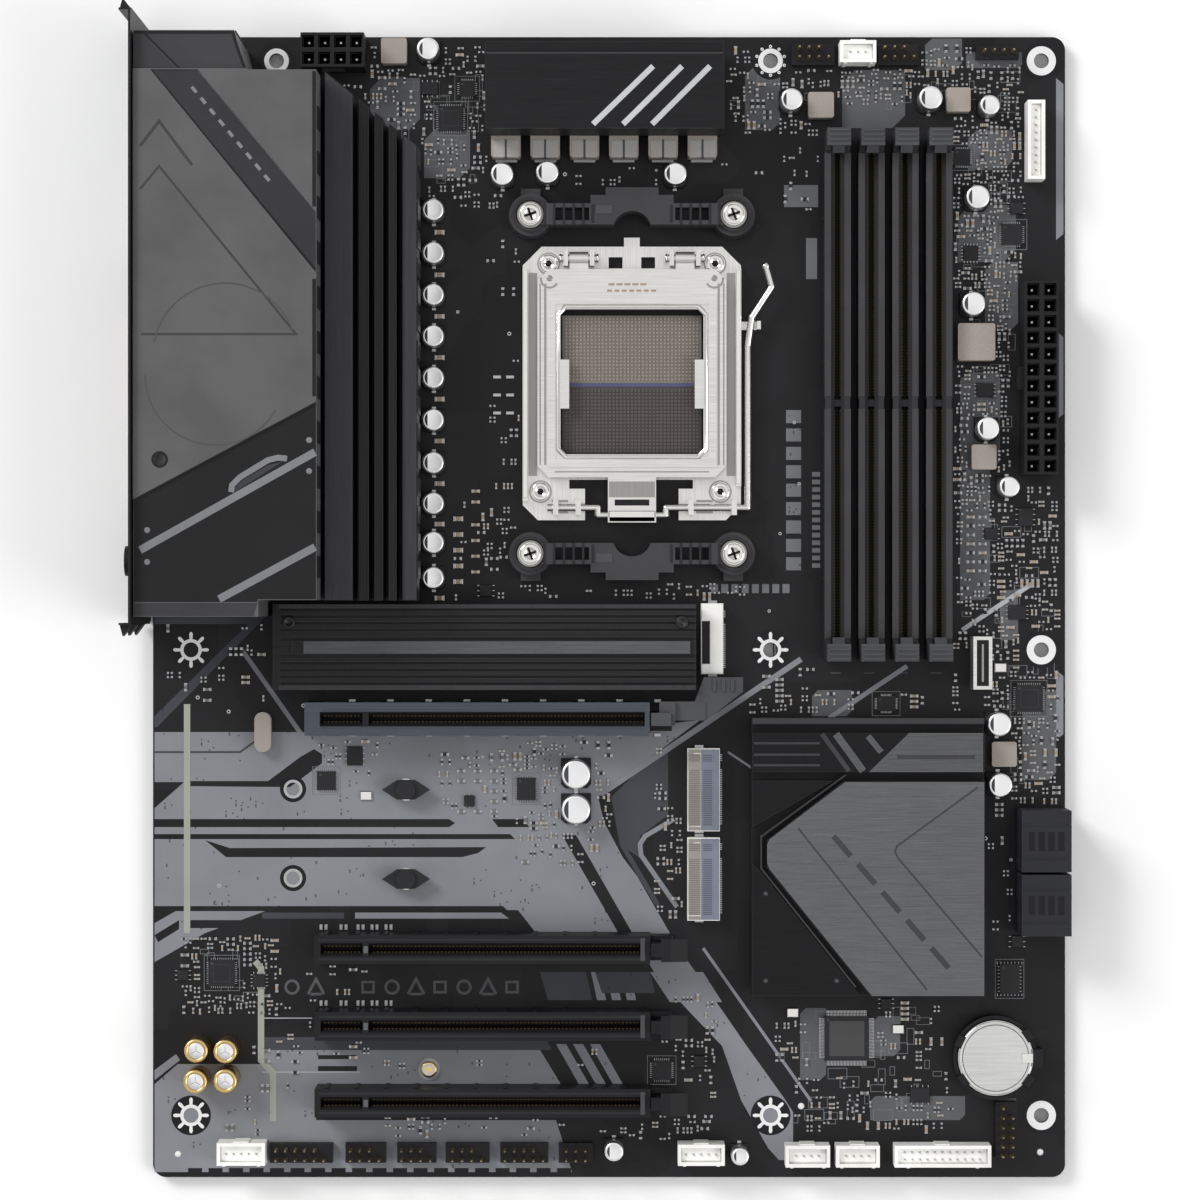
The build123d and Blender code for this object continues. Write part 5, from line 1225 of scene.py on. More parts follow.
# drive sockets: two-tone housings, contact combs and hold-down tabs
for b in islands(NODES["m2_sockets"]):
    top = b[2] > 130
    z = b[5]
    if top:
        piece("m2_faces", "plastic_white").box(b[0] + 2.4, b[1] - 0.1, b[2] + 0.15, b[3] - 0.15, z - 0.1, z + 0.16, 0.06)
        for (a, c) in ((b[2] + 0.15, b[2] + 2.6), (b[3] - 4.6, b[3] - 0.15)):
            piece("m2_faces", "plastic_white").box(b[0] + 0.15, b[0] + 2.6, a, c, z - 0.1, z + 0.14, 0.06)
        piece("m2_gaps", "plastic_black").box(b[0] + 0.2, b[0] + 2.3, b[2] + 2.7, b[3] - 4.7, z - 0.1, z + 0.05)
    else:
        piece("m2_contact_bars", "m2_beige").box(b[0] + 0.25, b[0] + 3.5, b[2] + 1.4, b[3] - 1.4, z - 0.1, z + 0.10, 0.05)
        piece("m2_backs", "m2_blue").box(b[0] + 3.6, b[1] - 0.15, b[2] + 0.2, b[3] - 0.2, z - 0.1, z + 0.16, 0.06)
        for c in (b[2] + 0.2, b[3] - 1.2):
            piece("m2_ends", "m2_beige").box(b[0] + 0.25, b[0] + 3.5, c, c + 1.0, z - 0.1, z + 0.14, 0.05)
    k = b[2] + 1.7
    while k < b[3] - 1.6:
        if abs(k - (b[3] - 4.6)) > 0.9:
            if not top:
                piece("m2_contacts", "ceramic_grey").box(b[0] + 0.5, b[0] + 3.2, k - 0.11, k + 0.11, z + 0.05, z + 0.14)
                piece("m2_slots", "print_mid").box(b[0] + 4.1, b[0] + 6.6, k - 0.09, k + 0.09, z + 0.12, z + 0.175)
            piece("m2_feet", "solder").box(b[1] - 0.05, b[1] + 0.75, k - 0.12, k + 0.12, ZP, T + 0.22, 0.03)
        k += 0.5
    for s in (b[2] - 0.8, b[3] - 0.1):
        piece("m2_feet", "solder").box(b[0] + 2.0, b[0] + 4.4, s, s + 0.9, ZP, T + 0.3, 0.05)

# ------------------------------------------------------------------ battery
bu0, bu1, bv0, bv1, bz0, bz1 = box_mm("battery")
bc = ((bu0 + bu1) / 2, (bv0 + bv1) / 2)
piece("battery_rim", "cell").lathe(bc[0], bc[1], [(9.9, bz1 - 0.5), (9.85, bz1 + 0.02), (9.6, bz1 + 0.14), (9.2, bz1 + 0.08), (8.9, bz1 + 0.04), (8.2, bz1 + 0.10), (0.05, bz1 + 0.10)], 64)
# a dark ring in the rim's groove: painted shade
piece("battery_groove_painted_shade", "print_mid").annulus(bc[0], bc[1], 8.72, 8.92, bz1 + 0.02, bz1 + 0.115, 64)
for a in (35, 155, 215, 325):
    x, y = bc[0] + 10.5 * math.cos(math.radians(a)), bc[1] + 10.5 * math.sin(math.radians(a))
    piece("battery_claws", "plastic_black").rbox(x, y, 2.0, 3.4, T + 3.9, bz1 + 0.55, a, 0.25)
piece("battery_spring", "steel_bright").box(bc[0] + 7.0, bc[0] + 12.2, bc[1] - 1.3, bc[1] + 1.3, bz1 + 0.12, bz1 + 0.36, 0.06)
piece("battery_spring", "steel_bright").box(bc[0] + 11.7, bc[0] + 12.2, bc[1] - 1.3, bc[1] + 1.3, T + 5.0, bz1 + 0.36, 0.06)

# upright front port: a black block fills the well between shell and tongue as painted shade
piece("front_port_well_painted_shade", "plastic_black").box(219.15, 222.65, 131.35, 143.85, T + 5.0, T + 9.2)
piece("front_port_tongue", "steel_shade").box(220.6, 221.2, 132.6, 142.6, T + 9.0, T + 9.5, 0.05)

# ------------------------------------------------------------------ surfaces of the tall covers
def pz(x, y, z):
    """A point of a raised surface at height z, on the same sheet as px."""
    u, v = (x - 153.0) / 3.74, (1177.0 - y) / 3.74
    k = 1 - (z - T) / 1000
    return 119.5 + (u - 119.5) * k, 154.3 + (v - 154.3) * k


def inlay(name, mat, pts, z, h=0.06, c=0.0):
    piece(name, mat).prism(pts, z - 0.12, z + h, c)


def stripe(name, mat, pts, w, z, h=0.05):
    piece(name, mat).ribbon(pts, w, z - 0.06, z + h)


ST = 41.0
# rear cover: upper corner block, slanted band, dark lower field, lower strip
inlay("cover_upper_block", "shroud_edge", [(-0.38, 291.0), (28.5, 291.0), (26.7, 295.9), (25.3, 300.7), (-0.38, 300.7)], ST - 1.2, 0.05, 0.04)
stripe("cover_dark_edges", "shroud_dark", [(-0.3, 300.3), (25.0, 300.3), (26.4, 295.9), (28.1, 291.2)], 0.8, ST - 1.14)
stripe("cover_dark_edges", "shroud_dark", [(2.2, 300.2), (11.2, 291.2)], 0.45, ST - 1.13)
inlay("cover_band", "shroud_band", [(4.2, 290.5), (16.0, 290.5), (46.45, 253.9), (46.45, 238.8)], ST - 0.5, 0.05)
# a dark line along the band's lower edge: painted shadow
stripe("cover_dark_edges", "shroud_dark", [(4.3, 290.2), (46.3, 239.2)], 0.7, ST - 0.44)
# plain dashes along the band
for k in range(9):
    f = 0.10 + 0.078 * k
    a, b = 12.2 + 30.0 * f, 290.5 - 36.4 * f
    piece("cover_dashes", "shroud_line").rbox(a, b - 1.4, 1.9, 0.85, ST - 0.5, ST - 0.43, -50.3)
inlay("cover_lower_field", "shroud_dark", [(-0.38, 180.6), (46.45, 205.6), (46.45, 154.5), (31.4, 154.5), (31.4, 153.8), (-0.38, 153.8)], ST - 0.9, 0.05)
stripe("cover_field_edge", "shroud_groove", [(-0.3, 180.25), (46.3, 205.15)], 0.35, ST - 0.84)
inlay("cover_lower_strip", "shroud_edge", [(-0.38, 150.15), (30.4, 150.15), (31.4, 153.4), (-0.38, 153.4)], ST - 1.2, 0.05, 0.04)
z = ST - 0.84
stripe("cover_stripes", "shroud_line", [pz(140, 550, z), pz(315, 452, z)], 2.0, z, 0.09)
stripe("cover_stripes", "shroud_line", [pz(219, 599, z), pz(315, 547, z)], 2.0, z, 0.09)
stripe("cover_bump", "shroud_line", [pz(231, 492, z), pz(232, 485, z), pz(240, 477, z), pz(268, 460, z), pz(278, 457.5, z), pz(287, 458.5, z)], 1.5, z, 0.085)
inlay("cover_bump_fill", "shroud_edge", [pz(234, 492, z), pz(236, 486, z), pz(244, 479, z), pz(268, 465, z), pz(282, 462, z)], z, 0.04)
for x, y in ((309, 440), (309, 471), (147, 530), (147, 562)):
    u, v = pz(x, y, z)
    piece("cover_dots", "shroud_line").lathe(u, v, [(0.78, z - 0.1), (0.78, z + 0.05), (0.6, z + 0.12), (0.05, z + 0.13)], 24)
hu, hv = 6.4, 190.4
piece("cover_hole_rim", "shroud_dark").annulus(hu, hv, 1.52, 2.15, ST - 0.1, ST + 0.03, 40)
# thin engraved lines: two chevrons, a level line and an arc
E = ST + 0.0
stripe("cover_lines", "shroud_groove", [pz(140, 146, ST), pz(159, 121, ST), pz(192, 165, ST)], 0.8, E, 0.012)
stripe("cover_lines", "shroud_groove", [pz(140, 189, ST), pz(159, 166, ST), pz(296, 334, ST), pz(141, 334, ST)], 0.6, E, 0.016)
arc = [pz(225 + 72 * math.cos(math.radians(a)), 355 - 72 * math.sin(math.radians(a)), ST) for a in range(20, 171, 6)]
stripe("cover_fine_lines", "shroud_fine", arc, 0.42, E, 0.020)
arc = [pz(215 + 70 * math.cos(math.radians(a)), 375 - 70 * math.sin(math.radians(a)), ST) for a in range(180, 331, 6)]
stripe("cover_fine_lines", "shroud_fine", arc, 0.42, E, 0.024)
# chamfer line along the cover's inner edge and slots in its wall
for a, b in ((255.4, 290.2), (206.6, 236.8)):
    piece("cover_side_rail", "shroud_dark").box(45.6, 46.55, a, b, ST - 0.3, ST + 0.05, 0.04)
for k in range(11):
    v = 160 + 11.6 * k
    piece("cover_side_ribs", "shroud_dark").box(46.5, 46.95, v, v + 5.6, T + 27.5, ST - 2.2, 0.12)
for k in range(5):
    piece("cover_end_ribs", "shroud_dark").box(3.0 + 5 * k, 5.6 + 5 * k, 300.8, 301.2, T + 6.0, ST - 4.0, 0.1)

# rear power heatsink: a lighter tone painted on the slab's top and on the sloped strip as painted light, a dark and a
# pale line along each fin as painted shade and highlight, end grooves
for (a, b, w) in ((48.2, 55.3, 0.0), ):
    inlay("rear_sink_slab_painted_light", "heatsink_slab", [(47.95, 154.4), (54.9, 154.4), (54.9, 285.9), (47.95, 291.6)], T + 26.0, 0.05, 0.04)
inlay("rear_sink_strip_painted_light", "heatsink_slab", [(68.1, 154.4), (71.5, 154.4), (71.5, 272.8), (68.1, 275.5)], T + 24.6, 0.05, 0.04)
for u in (57.4, 61.0, 64.8):
    f = (u - 47.8) / 23.9
    for k in range(2):
        stripe("rear_sink_fin_painted_shade_and_highlight", "heatsink_slab" if k else "shroud_dark", [(u + 0.7 * k, 154.5), (u + 0.7 * k, 291.2 - 19.2 * f)], 0.3, T + 25.2, 0.05)
for k in range(16):
    v = 160.0 + 7.2 * k
    piece("rear_sink_scallops", "heatsink_slab").box(71.6, 72.0, v, v + 4.6, T + 9.5, T + 22.6, 0.14)

# top power heatsink: step line and three plain slanted bars
Z = T + 24.0
stripe("top_sink_step", "shroud_edge", [(89.9, 297.1), (151.5, 297.1)], 0.4, Z, 0.03)
for x0, x1 in ((653, 593), (682, 623), (710, 652)):
    stripe("top_sink_bars", "heatsink_stripe", [pz(x0, 66, Z), pz(x1, 124, Z)], 1.45, Z, 0.05)
for k in range(14):
    u = 91.6 + 4.3 * k
    piece("top_sink_ribs", "heatsink_dark").box(u, u + 2.4, 300.2, 300.62, T + 5.0, T + 19.6, 0.12)
for k in range(6):
    # pale end plate of each choke with its seam
    a = 90.6 + 10.44 * k
    piece("choke_faces", "ferrite_pale").box(a + 0.5, a + 7.3, 271.78, 276.4, T + 5.0, T + 7.68, 0.16)
    piece("choke_seams", "ferrite_dark").box(a + 3.6, a + 4.2, 271.7, 276.5, T + 4.9, T + 7.72, 0.05)
    piece("choke_feet", "solder").box(a + 1.0, a + 6.8, 271.2, 271.95, ZP, T + 0.7, 0.06)

# drive heatsink: pale stripe on the rib, lighter strips along both long edges, screws at the ends
inlay("drive_sink_stripe", "heatsink_grey", [(41.2, 140.15), (143.25, 140.15), (143.25, 143.35), (41.2, 143.35)], T + 12.0, 0.05, 0.03)
inlay("drive_sink_lower", "heatsink_slab", [(34.6, 130.65), (144.7, 130.65), (144.7, 131.65), (34.6, 131.65)], T + 11.4, 0.05, 0.03)
inlay("drive_sink_lower", "heatsink_slab", [(34.6, 152.1), (144.7, 152.1), (144.7, 153.05), (34.6, 153.05)], T + 11.4, 0.05, 0.03)
for u in (37.2, 141.2):
    piece("drive_sink_screws", "steel_dark").lathe(u, 148.4, [(1.7, T + 11.2), (1.7, T + 11.75), (1.45, T + 11.95), (0.9, T + 11.95), (0.75, T + 11.6), (0.05, T + 11.6)], 28)

# chipset heatsink: bar, band with slanted bars, pale cornered plate with engraved lines
inlay("chipset_bar", "shroud_edge", [(159.9, 121.55), (221.1, 121.55), (221.1, 122.95), (159.9, 122.95)], T + 9.8, 0.05, 0.03)
Z = T + 10.8
inlay("chipset_band_plate", "heatsink_grey", [pz(909, 733, Z), pz(983, 733, Z), pz(983, 772, Z), pz(869, 772, Z)], Z, 0.05, 0.03)
stripe("chipset_band_groove", "shroud_groove", [pz(897, 757, Z), pz(975, 757, Z)], 1.1, Z, 0.07)
stripe("chipset_band_bars", "heatsink_grey", [pz(836, 734, Z), pz(863, 771, Z)], 1.9, Z, 0.05)
stripe("chipset_band_bars", "heatsink_grey", [pz(868, 736, Z), pz(881, 752, Z)], 1.5, Z, 0.055)
stripe("chipset_band_bars_dark", "shroud_edge", [pz(822, 734, Z), pz(849, 771, Z)], 1.2, Z, 0.05)
for v in (110.6, 113.4, 116.4):
    stripe("chipset_band_lines", "heatsink_slab", [(160.2, v), (177.6, v)], 0.5, Z, 0.03)
Z = T + 11.4
plate = [(184.3, 106.15), (221.05, 106.15), (221.05, 49.65), (191.4, 49.65), (164.3, 83.2), (163.7, 84.8), (163.7, 89.6), (164.3, 91.0)]
inlay("chipset_plate", "plate_grey", plate, Z, 0.05, 0.04)
stripe("chipset_plate_lines", "shroud_groove", [pz(798, 828, Z), pz(927, 990, Z)], 0.5, Z, 0.062)
stripe("chipset_plate_lines", "shroud_groove", [pz(978, 787, Z), pz(897, 846, Z), pz(895, 852, Z), pz(898, 858, Z), pz(982, 957, Z)], 0.5, Z, 0.062)
# five plain notched bars where the plate carries a printed mark
for k in range(5):
    x, y = 842 + 24.5 * k, 846 + 28.0 * k
    u, v = pz(x, y, Z)
    piece("chipset_plate_marks", "shroud_groove").rbox(u, v, 1.5, 7.0, Z, Z + 0.07, 41.0)
stripe("chipset_bevel", "shroud_edge", [(184.6, 108.0), (162.2, 91.6), (162.2, 83.2), (187.2, 51.8)], 0.45, T + 7.6, 2.0)

# dots in the heatsink's corners, filled by small dark screws
for u, v in ((163.4, 76.5), (163.4, 53.4), (182.2, 53.4)):
    piece("chipset_pins", "plastic_grey").lathe(u, v, [(0.62, T + 8.82), (0.62, T + 9.3), (0.45, T + 9.45), (0.05, T + 9.45)], 20)

# ------------------------------------------------------------------ processor socket
SU, SV = 128.0, 211.6
P1 = T + 6.1
# contact fields: a floor and many small sprung leaves in each half
for (v0, v1, up) in ((SV + 0.55, SV + 18.5, True), (SV - 18.5, SV - 0.55, False)):
    piece("contact_floor_" + ("a" if up else "b"), "field_up" if up else "field_low").box(SU - 18.5, SU + 18.5, v0, v1, T + 2.3, T + 2.54)
    nv = 18
    nu = 37
    for i in range(nu):
        for j in range(nv):
            u = SU - 18.0 + 36.0 * (i + 0.5) / nu
            v = v0 + 0.4 + (v1 - v0 - 0.8) * (j + 0.5) / nv
            s = 0.12 if up else -0.12
            piece("contact_leaves_" + ("a" if up else "b"), "leaf_up" if up else "leaf_low").ring_stack([
                [(u - 0.26, v - 0.30, T + 2.5), (u + 0.26, v - 0.30, T + 2.5), (u + 0.26, v + 0.30, T + 2.5), (u - 0.26, v + 0.30, T + 2.5)],
                [(u - 0.20, v - 0.20 + s, T + 2.86), (u + 0.20, v - 0.20 + s, T + 2.86), (u + 0.20, v + 0.20 + s, T + 2.86), (u - 0.20, v + 0.20 + s, T + 2.86)]])
piece("contact_seam", "seam_blue").box(SU - 18.4, SU + 18.4, SV - 0.5, SV + 0.5, T + 1.6, T + 2.75, 0.08)
for s in (-1, 1):
    for t in (-1, 1):
        piece("socket_stops", "plastic_black").box(SU + s * 18.7, SU + s * 19.9, SV + t * 9.0, SV + t * 12.0, T + 1.6, T + 4.6, 0.15)
# frame: floor strips in darker steel as painted shade, wall lips, screw washers
for a, b in ((100.45, 102.75), (153.3, 155.6)):
    piece("frame_floor_painted_shade", "steel_shade").box(a, b, 187.4, 241.6, T + 1.7, T + 1.86, 0.03)
for a in (99.0, 155.75):
    piece("frame_wall_lips", "steel_bright").box(a, a + 1.25, 181.5 if a < 120 else 185.2, 242.2, T + 4.5, T + 4.68, 0.07)
for u, v in ((105.8, 244.0), (150.2, 244.0), (103.6, 183.2), (151.6, 183.2)):
    piece("frame_screw_rings", "steel_shade").annulus(u, v, 2.62, 3.05, T + 1.7, T + 1.9, 32)
    piece("frame_screw_caps", "steel_bright").lathe(u, v, [(2.5, T + 2.2), (2.5, T + 2.85), (2.2, T + 3.05), (1.15, T + 3.1), (1.0, T + 2.75), (0.05, T + 2.75)], 32)
    # a black disc in each screw's driver recess: painted shade
    piece("frame_screw_recess_painted_shade", "print_black").lathe(u, v, [(0.85, T + 2.6), (0.85, T + 2.8), (0.05, T + 2.8)], 6)
# pressed lines drawn as flat strips of darker steel: painted shade
for u0, u1 in ((106.6, 111.0), (145.2, 149.6)):
    piece("frame_crease_painted_shade", "steel_shade").box(u0, u1, 180.4, 181.0, T + 1.7, T + 1.9, 0.05)
    piece("frame_crease_painted_shade", "steel_shade").box(u0, u1, 177.4, 178.0, T + 1.7, T + 1.9, 0.05)
# load plate: rolled window lip, pressed lines and corner arcs drawn as darker steel strips of painted shade, a patch of
# painted shade by the nose, nose slot
lp = piece("plate_window_lip", "steel_bright", "load_plate")
lip = lambda d, z: [(SU + x * (19.0 + d) - x2 * 2.2, SV + 0.7 + y * (19.3 + d) - y2 * 2.2, z)
                    for x, y, x2, y2 in ((-1, -1, -1, 0), (1, -1, 1, 0), (1, -1, 0, -1), (1, 1, 0, 1), (1, 1, 1, 0), (-1, 1, -1, 0), (-1, 1, 0, 1), (-1, -1, 0, -1))]
lp.loop_stack([lip(1.25, P1 - 0.1), lip(1.15, P1 + 0.28), lip(0.75, P1 + 0.4), lip(0.35, P1 + 0.28), lip(0.25, P1 - 0.1)], soft=True)
for s in (-1, 1):
    piece("plate_crease_painted_shade", "steel_shade", "load_plate").box(SU + s * 22.75, SU + s * 23.35, 190.2, 238.4, P1 - 0.05, P1 + 0.06, 0.03)
    piece("plate_crease_painted_shade", "steel_shade", "load_plate").box(SU + s * 24.2, SU + s * 24.6, 190.2, 238.4, P1 - 0.05, P1 + 0.05, 0.02)
for v in (188.2, 190.4):
    piece("plate_crease_painted_shade", "steel_shade", "load_plate").box(SU - 20.5, SU + 20.5, v, v + 0.35, P1 - 0.05, P1 + 0.05, 0.02)
for s in (-1, 1):
    arc = [(SU + s * 21.9 + 2.3 * math.cos(math.radians(a)), 239.6 + 2.3 * math.sin(math.radians(a))) for a in range(170, 331, 16)]
    if s > 0:
        arc = [(2 * (SU + s * 21.9) - a, b) for a, b in arc]
    piece("plate_arc_painted_shade", "steel_shade", "load_plate").ribbon(arc, 0.55, P1 - 0.05, P1 + 0.08)
    piece("plate_arc_painted_shade", "steel_shade", "load_plate").lathe(SU + s * 21.9, 239.8, [(0.8, P1 - 0.05), (0.8, P1 + 0.06), (0.6, P1 + 0.1), (0.05, P1 + 0.1)], 20)
# faint bronze dashes on the plate where a mark was stamped
for k in range(5):
    piece("plate_stamp", "stamp_tan", "load_plate").box(SU - 6.2 + 2.1 * k, SU - 4.6 + 2.1 * k, 237.9, 238.5, P1 - 0.05, P1 + 0.03)
for k in range(7):
    piece("plate_stamp", "stamp_tan", "load_plate").box(SU - 6.6 + 1.95 * k, SU - 5.3 + 1.95 * k, 236.2, 236.8, P1 - 0.05, P1 + 0.03)
piece("nose_slot", "plastic_black", "load_plate").box(SU - 4.6, SU + 4.6, 179.4, 181.0, P1 - 0.05, P1 + 0.05, 0.02)
piece("nose_shade", "steel_shade", "load_plate").box(SU - 6.1, SU + 6.1, 181.6, 185.8, P1 - 0.05, P1 + 0.04, 0.02)
piece("nose_lip", "steel_bright", "load_plate").box(SU - 6.2, SU + 6.2, 175.0, 178.0, P1 - 0.05, P1 + 0.5, 0.2)
for u in (111.4, 139.6):
    piece("hinge_pins", "steel_bright", "load_plate").tube_x(u - 2.7, u - 2.3, 245.2, T + 5.2, 1.2, 20)
    piece("hinge_pins", "steel_bright", "load_plate").tube_x(u + 7.3, u + 7.7, 245.2, T + 5.2, 1.2, 20)
# lever: rolled finger end
piece("lever_finger", "steel_bright", "lever").lathe(163.6, 243.0, [(0.3, T + 5.4), (0.95, T + 5.6), (1.12, T + 6.0), (1.0, T + 6.5), (0.5, T + 6.85), (0.05, T + 6.9)], 20)

# cooler brackets: ring lips, ribs, screws with a driver recess drawn as black bars of painted shade
SZ = T + 9.4 - 2.6
for s in (-1, 1):
    v = SV + s * 45.0
    for u in (SU - 27, SU + 27):
        piece("bracket_ring_lips", "plastic_charcoal").annulus(u, v, 4.25, 4.55, T + 7.6, T + 7.95, 40)
        piece("bracket_ring_feet", "plastic_charcoal").annulus(u, v, 5.55, 6.0, T + 0.02, T + 1.6, 40)
        piece("bracket_screw_heads", "steel_bright").lathe(u, v, [(2.9, SZ + 1.5), (2.9, SZ + 2.2), (2.55, SZ + 2.42), (1.5, SZ + 2.5), (1.35, SZ + 2.35), (0.05, SZ + 2.35)], 36)
        for a in (0, 90):
            piece("bracket_screw_slot_painted_shade", "print_black").rbox(u, v, 3.4, 0.62, SZ + 2.2, SZ + 2.54, a + 20, 0.0)
        piece("bracket_washers", "steel_shade").annulus(u, v, 2.95, 3.5, SZ + 0.05, SZ + 0.35, 36)
    for k in range(6):
        for t in (-1, 1):
            a = SU + t * (10.4 + 2.55 * k)
            piece("bracket_ribs", "plastic_charcoal").box(a - 0.3, a + 0.3, v - 2.7 if k else v - 2.4, v + 2.7 if k else v + 2.4, T + 9.38, T + 9.62, 0.08)
    piece("bracket_pads", "plastic_grey").box(SU - 9.6, SU - 5.2, v - 1.2 + s * 1.2, v + 1.2 + s * 1.2, T + 9.38, T + 9.58, 0.1)

# ------------------------------------------------------------------ rear connectors
def slot_x(name, mat, u, v0, v1, z0, z1, d=0.05):
    piece(name, mat).box(u, u + d, v0, v1, z0, z1)


PORT = -2.4
for key, v0, v1 in (("a", 284.4, 298.6), ("b", 267.0, 281.2), ("c", 219.6, 233.8), ("d", 202.0, 216.2)):
    for n, z in enumerate((T + 1.5, T + 9.1)):
        # tongue faces, sprung tabs and contact strips inside each opening
        mat = "plastic_blue" if key in "ab" else "plastic_red"
        piece("usb_tongues_" + mat, mat).box(PORT + 0.75, 9.3, v0 + 1.45, v1 - 1.45, z + 2.95, z + 4.75, 0.06)
        for k in range(4):
            w = v0 + 3.1 + 2.66 * k
            piece("usb_contacts", "trace_gold").box(PORT + 0.95, 7.2, w - 0.5, w + 0.5, z + 2.82, z + 2.98, 0.03)
        for w in (v0 + 4.4, v1 - 4.4):
            piece("usb_springs", "steel_shade").ring_stack([[(PORT + 0.4, w - 0.9, z - 0.02), (PORT + 0.4, w + 0.9, z - 0.02), (PORT + 0.4, w + 0.9, z + 0.1), (PORT + 0.4, w - 0.9, z + 0.1)],
                                                            [(2.4, w - 0.9, z + 0.5), (2.4, w + 0.9, z + 0.5), (2.4, w + 0.9, z + 0.65), (2.4, w - 0.9, z + 0.65)],
                                                            [(4.4, w - 0.9, z + 0.02), (4.4, w + 0.9, z + 0.02), (4.4, w + 0.9, z + 0.12), (4.4, w - 0.9, z + 0.12)]])
    piece("usb_rims", "steel_bright").box(PORT, PORT + 0.25, v0 - 0.0, v0 + 0.5, T + 0.3, T + 15.6)
    piece("usb_rims", "steel_bright").box(PORT, PORT + 0.25, v1 - 0.5, v1, T + 0.3, T + 15.6)
# network stack
for z in (T + 1.5, T + 8.1):
    for k in range(4):
        w = 184.4 + 3.7 * k
        piece("usb_contacts", "trace_gold").box(PORT + 0.95, 7.2, w - 0.5, w + 0.5, z + 2.6, z + 2.9, 0.03)
for k in range(8):
    w = 185.6 + 1.02 * k
    piece("lan_contacts", "trace_gold").ring_stack([[(PORT + 1.2, w, T + 14.7), (PORT + 1.2, w + 0.4, T + 14.7), (PORT + 1.2, w + 0.4, T + 14.95), (PORT + 1.2, w, T + 14.95)],
                                                    [(6.8, w, T + 17.2), (6.8, w + 0.4, T + 17.2), (6.8, w + 0.4, T + 17.45), (6.8, w, T + 17.45)]])
for w, mat in ((183.0, "jack_green"), (195.6, "lamp_amber")):
    piece("lan_lamps_" + mat, mat).box(PORT, PORT + 0.35, w, w + 1.9, T + 25.4, T + 26.9, 0.08)
# video stack
for k in range(9):
    w = 251.0 + 1.05 * k
    piece("video_contacts", "trace_gold").box(PORT + 1.1, 6.4, w, w + 0.42, T + 4.78, T + 4.95, 0.03)
    piece("video_contacts", "trace_gold").box(PORT + 1.1, 6.4, w, w + 0.42, T + 12.58, T + 12.75, 0.03)
# audio jacks: coloured collars with a bright throat
for k, mat in enumerate(("jack_pink", "jack_green", "jack_blue")):
    z = T + 6.2 + 12 * k
    piece("jack_collar_" + mat, mat).tube_x(PORT + 0.02, PORT + 0.5, 164.4, z, 3.72, 40, 2.35)
    piece("jack_throats", "trace_gold").tube_x(PORT + 0.1, PORT + 3.4, 164.4, z, 2.25, 32, 1.88)
# shield: pressed border, port bevels, screwless tabs
SH = -1.5
for (v0, v1, z0, z1) in ((284.4, 298.6, T, T + 15.8), (267.0, 281.2, T, T + 15.8), (247.4, 264.0, T, T + 15.6), (219.6, 233.8, T, T + 15.8), (202.0, 216.2, T, T + 15.8), (181.6, 198.2, T, T + 27.6)):
    a, b, c, d = v0 - 1.5, v1 + 1.5, z0 + 0.0, z1 + 1.5
    for q in ((a, b, d - 0.35, d), (a, a + 0.35, c, d), (b - 0.35, b, c, d)):
        piece("shield_port_beads", "shroud_edge").box(SH - 0.22, SH + 0.05, q[0], q[1], q[2], q[3], 0.0)
for v, z in ((291.5, 18.3), (274.1, 18.3), (255.7, 18.1), (226.7, 18.3), (209.1, 18.3), (189.9, 30.1)):
    piece("shield_marks", "shroud_line").box(SH - 0.06, SH + 0.02, v - 2.2, v + 2.2, T + z, T + z + 0.4)
for k in range(3):
    piece("shield_marks", "shroud_line").box(SH - 0.06, SH + 0.02, 170.4, 170.8, T + 5.2 + 12 * k, T + 7.2 + 12 * k)
for v in (150.8, 302.6):
    for z in (4.0, 14.0, 24.0, 34.0):
        piece("shield_springs", "steel_shade").box(SH - 0.35, SH + 0.1, v, v + 1.1, z, z + 4.6, 0.12)
piece("button_face", "print_white", "button").tube_x(-3.36, -3.1, 240.4, T + 6.6, 1.15, 24, 0.75)

# ------------------------------------------------------------------ drive ports: keyed tongues with contacts
for v0 in (65.7, 82.6):
    for z in (T + 1.6, T + 8.8):
        for k in range(7):
            w = v0 + 3.6 + 1.27 * k
            piece("drive_port_contacts", "trace_gold").box(237.4, 243.0, w, w + 0.6, z + 2.1, z + 2.3)
        piece("drive_port_tongues", "plastic_black").box(236.8, 243.3, v0 + 3.0, v0 + 12.9, z + 1.0, z + 2.14, 0.08)
    piece("drive_port_ribs", "plastic_charcoal").box(231.0, 242.6, v0 + 3.4, v0 + 3.9, T + 15.15, T + 15.4, 0.08)
    piece("drive_port_ribs", "plastic_charcoal").box(231.0, 242.6, v0 + 12.2, v0 + 12.7, T + 15.15, T + 15.4, 0.08)
    # black ink in four pockets on each port's top: painted shade
    for k in range(4):
        piece("drive_port_pocket_painted_shade", "print_black").box(232.4 + 2.6 * k, 234.0 + 2.6 * k, v0 + 5.6, v0 + 10.6, T + 15.12, T + 15.24)

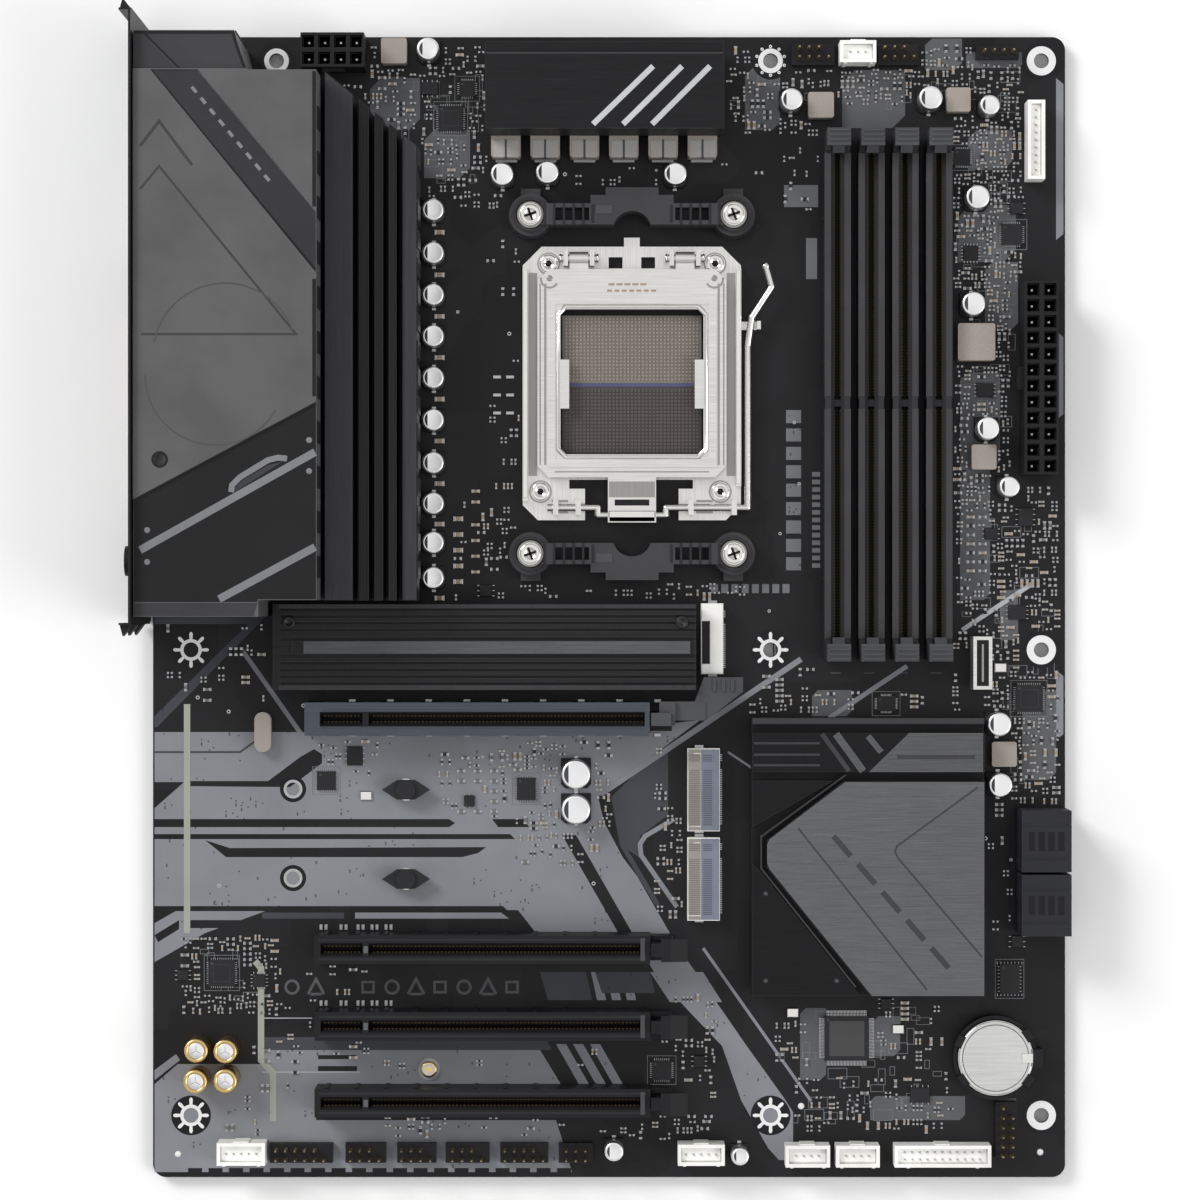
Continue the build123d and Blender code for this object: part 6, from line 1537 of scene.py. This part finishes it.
# ------------------------------------------------------------------ underside: joints, marks and backplate work
ZU = -0.03
rows = [((182.5 + 8.97 * i) + s * 1.0, v) for i in range(4) for s in (-1, 1) for v in [144.6 + 1.7 * k for k in range(76)]]
for u, v in rows:
    if abs(v - 206.6) > 1.6:
        piece("under_joints", "solder").lathe(u, v, [(0.55, 0.03), (0.48, -0.25), (0.2, -0.62), (0.03, -0.7)], 6)
for vc in (122.8, 61.84, 41.52, 21.20):
    for k in range(84):
        u = 46.6 + k
        if not 56.0 < u < 59.0:
            piece("under_joints", "solder").lathe(u, vc + (1.0 if k % 2 else -1.0), [(0.42, 0.03), (0.36, -0.22), (0.15, -0.5), (0.03, -0.55)], 6)
for i in range(2):
    for j in range(12):
        piece("under_joints_big", "solder").lathe(233.8 + 4.5 * i, 189.7 + 4.2 * j, [(1.25, 0.03), (1.05, -0.35), (0.55, -1.0), (0.3, -1.3), (0.03, -1.3)], 12)
for i in range(4):
    for j in range(2):
        piece("under_joints_big", "solder").lathe(42.5 + 4.2 * i, 297.4 + 4.4 * j, [(1.25, 0.03), (1.05, -0.35), (0.55, -1.0), (0.3, -1.3), (0.03, -1.3)], 12)
r2 = random.Random(77)
for _ in range(620):
    u, v = r2.uniform(4, 240), r2.uniform(4, 300)
    if 93 < u < 163 and 158 < v < 265 or 180 < u < 214 and 140 < v < 278 or any(math.hypot(u - a, v - b) < 6.5 for a in (10.16, 165.1, 237.49, 33.02) for b in (16.51, 140.97, 298.45)):
        continue
    if r2.random() < 0.5:
        piece("under_vias", "solder").annulus(u, v, 0.2, 0.42, -0.05, 0.02, 8)
    else:
        w, h = (1.0, 0.5) if r2.random() < 0.5 else (1.6, 0.8)
        a = r2.choice((0, 90))
        piece("under_chips", "ceramic_tan").rbox(u, v, w * 0.55, h, -0.5, 0.02, a, 0.0)
        for s in (-1, 1):
            ca, sa = math.cos(math.radians(a)), math.sin(math.radians(a))
            piece("under_chip_ends", "solder").rbox(u + s * w * 0.38 * ca, v + s * w * 0.38 * sa, w * 0.3, h * 1.04, -0.52, 0.02, a, 0.0)
for u, v in ((10.16, 16.51), (165.10, 16.51), (237.49, 16.51), (10.16, 140.97), (165.10, 140.97), (237.49, 140.97), (33.02, 298.45), (165.10, 298.45), (237.49, 298.45)):
    piece("under_hole_pads", "solder").annulus(u, v, 2.0, 3.6, -0.05, 0.02, 32)
# tracks under the board
for k in range(14):
    piece("under_tracks", "trace_dark").ribbon([(166.0 + 0.9 * k, 150.0 + 0.9 * k), (166.0 + 0.9 * k, 120.0), (176.0 + 0.9 * k, 108.0), (176.0 + 0.9 * k, 70.0)], 0.3, -0.03, 0.02)
    piece("under_tracks", "trace_dark").ribbon([(140.0 + 0.8 * k, 156.0), (140.0 + 0.8 * k, 134.0), (112.0 + 0.8 * k, 106.0), (112.0 + 0.8 * k, 70.0)], 0.28, -0.035, 0.02)
# backplate: rivet collars, insulation sheet and pressed ribs
piece("backplate_sheet", "plastic_black").prism([(SU - 31, SV - 49), (SU + 31, SV - 49), (SU + 31, SV + 49), (SU - 31, SV + 49)], -0.12, -0.02)
for a in (-1, 1):
    for b in (-1, 1):
        piece("backplate_collars", "steel_bright").annulus(SU + 27 * a, SV + 45 * b, 1.55, 3.3, -2.0, -1.7, 32)
    piece("backplate_ribs", "steel_dark").box(SU + a * 20.2, SU + a * 23.0, SV - 33, SV + 33, -1.99, -1.85, 0.0)
    piece("backplate_ribs", "steel_dark").box(SU - 15, SU + 15, SV + a * 20.0, SV + a * 22.0, -1.99, -1.85, 0.0)

# ------------------------------------------------------------------ finish
made = {n: p.done() for n, p in PIECES.items()}
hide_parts("capacitors")
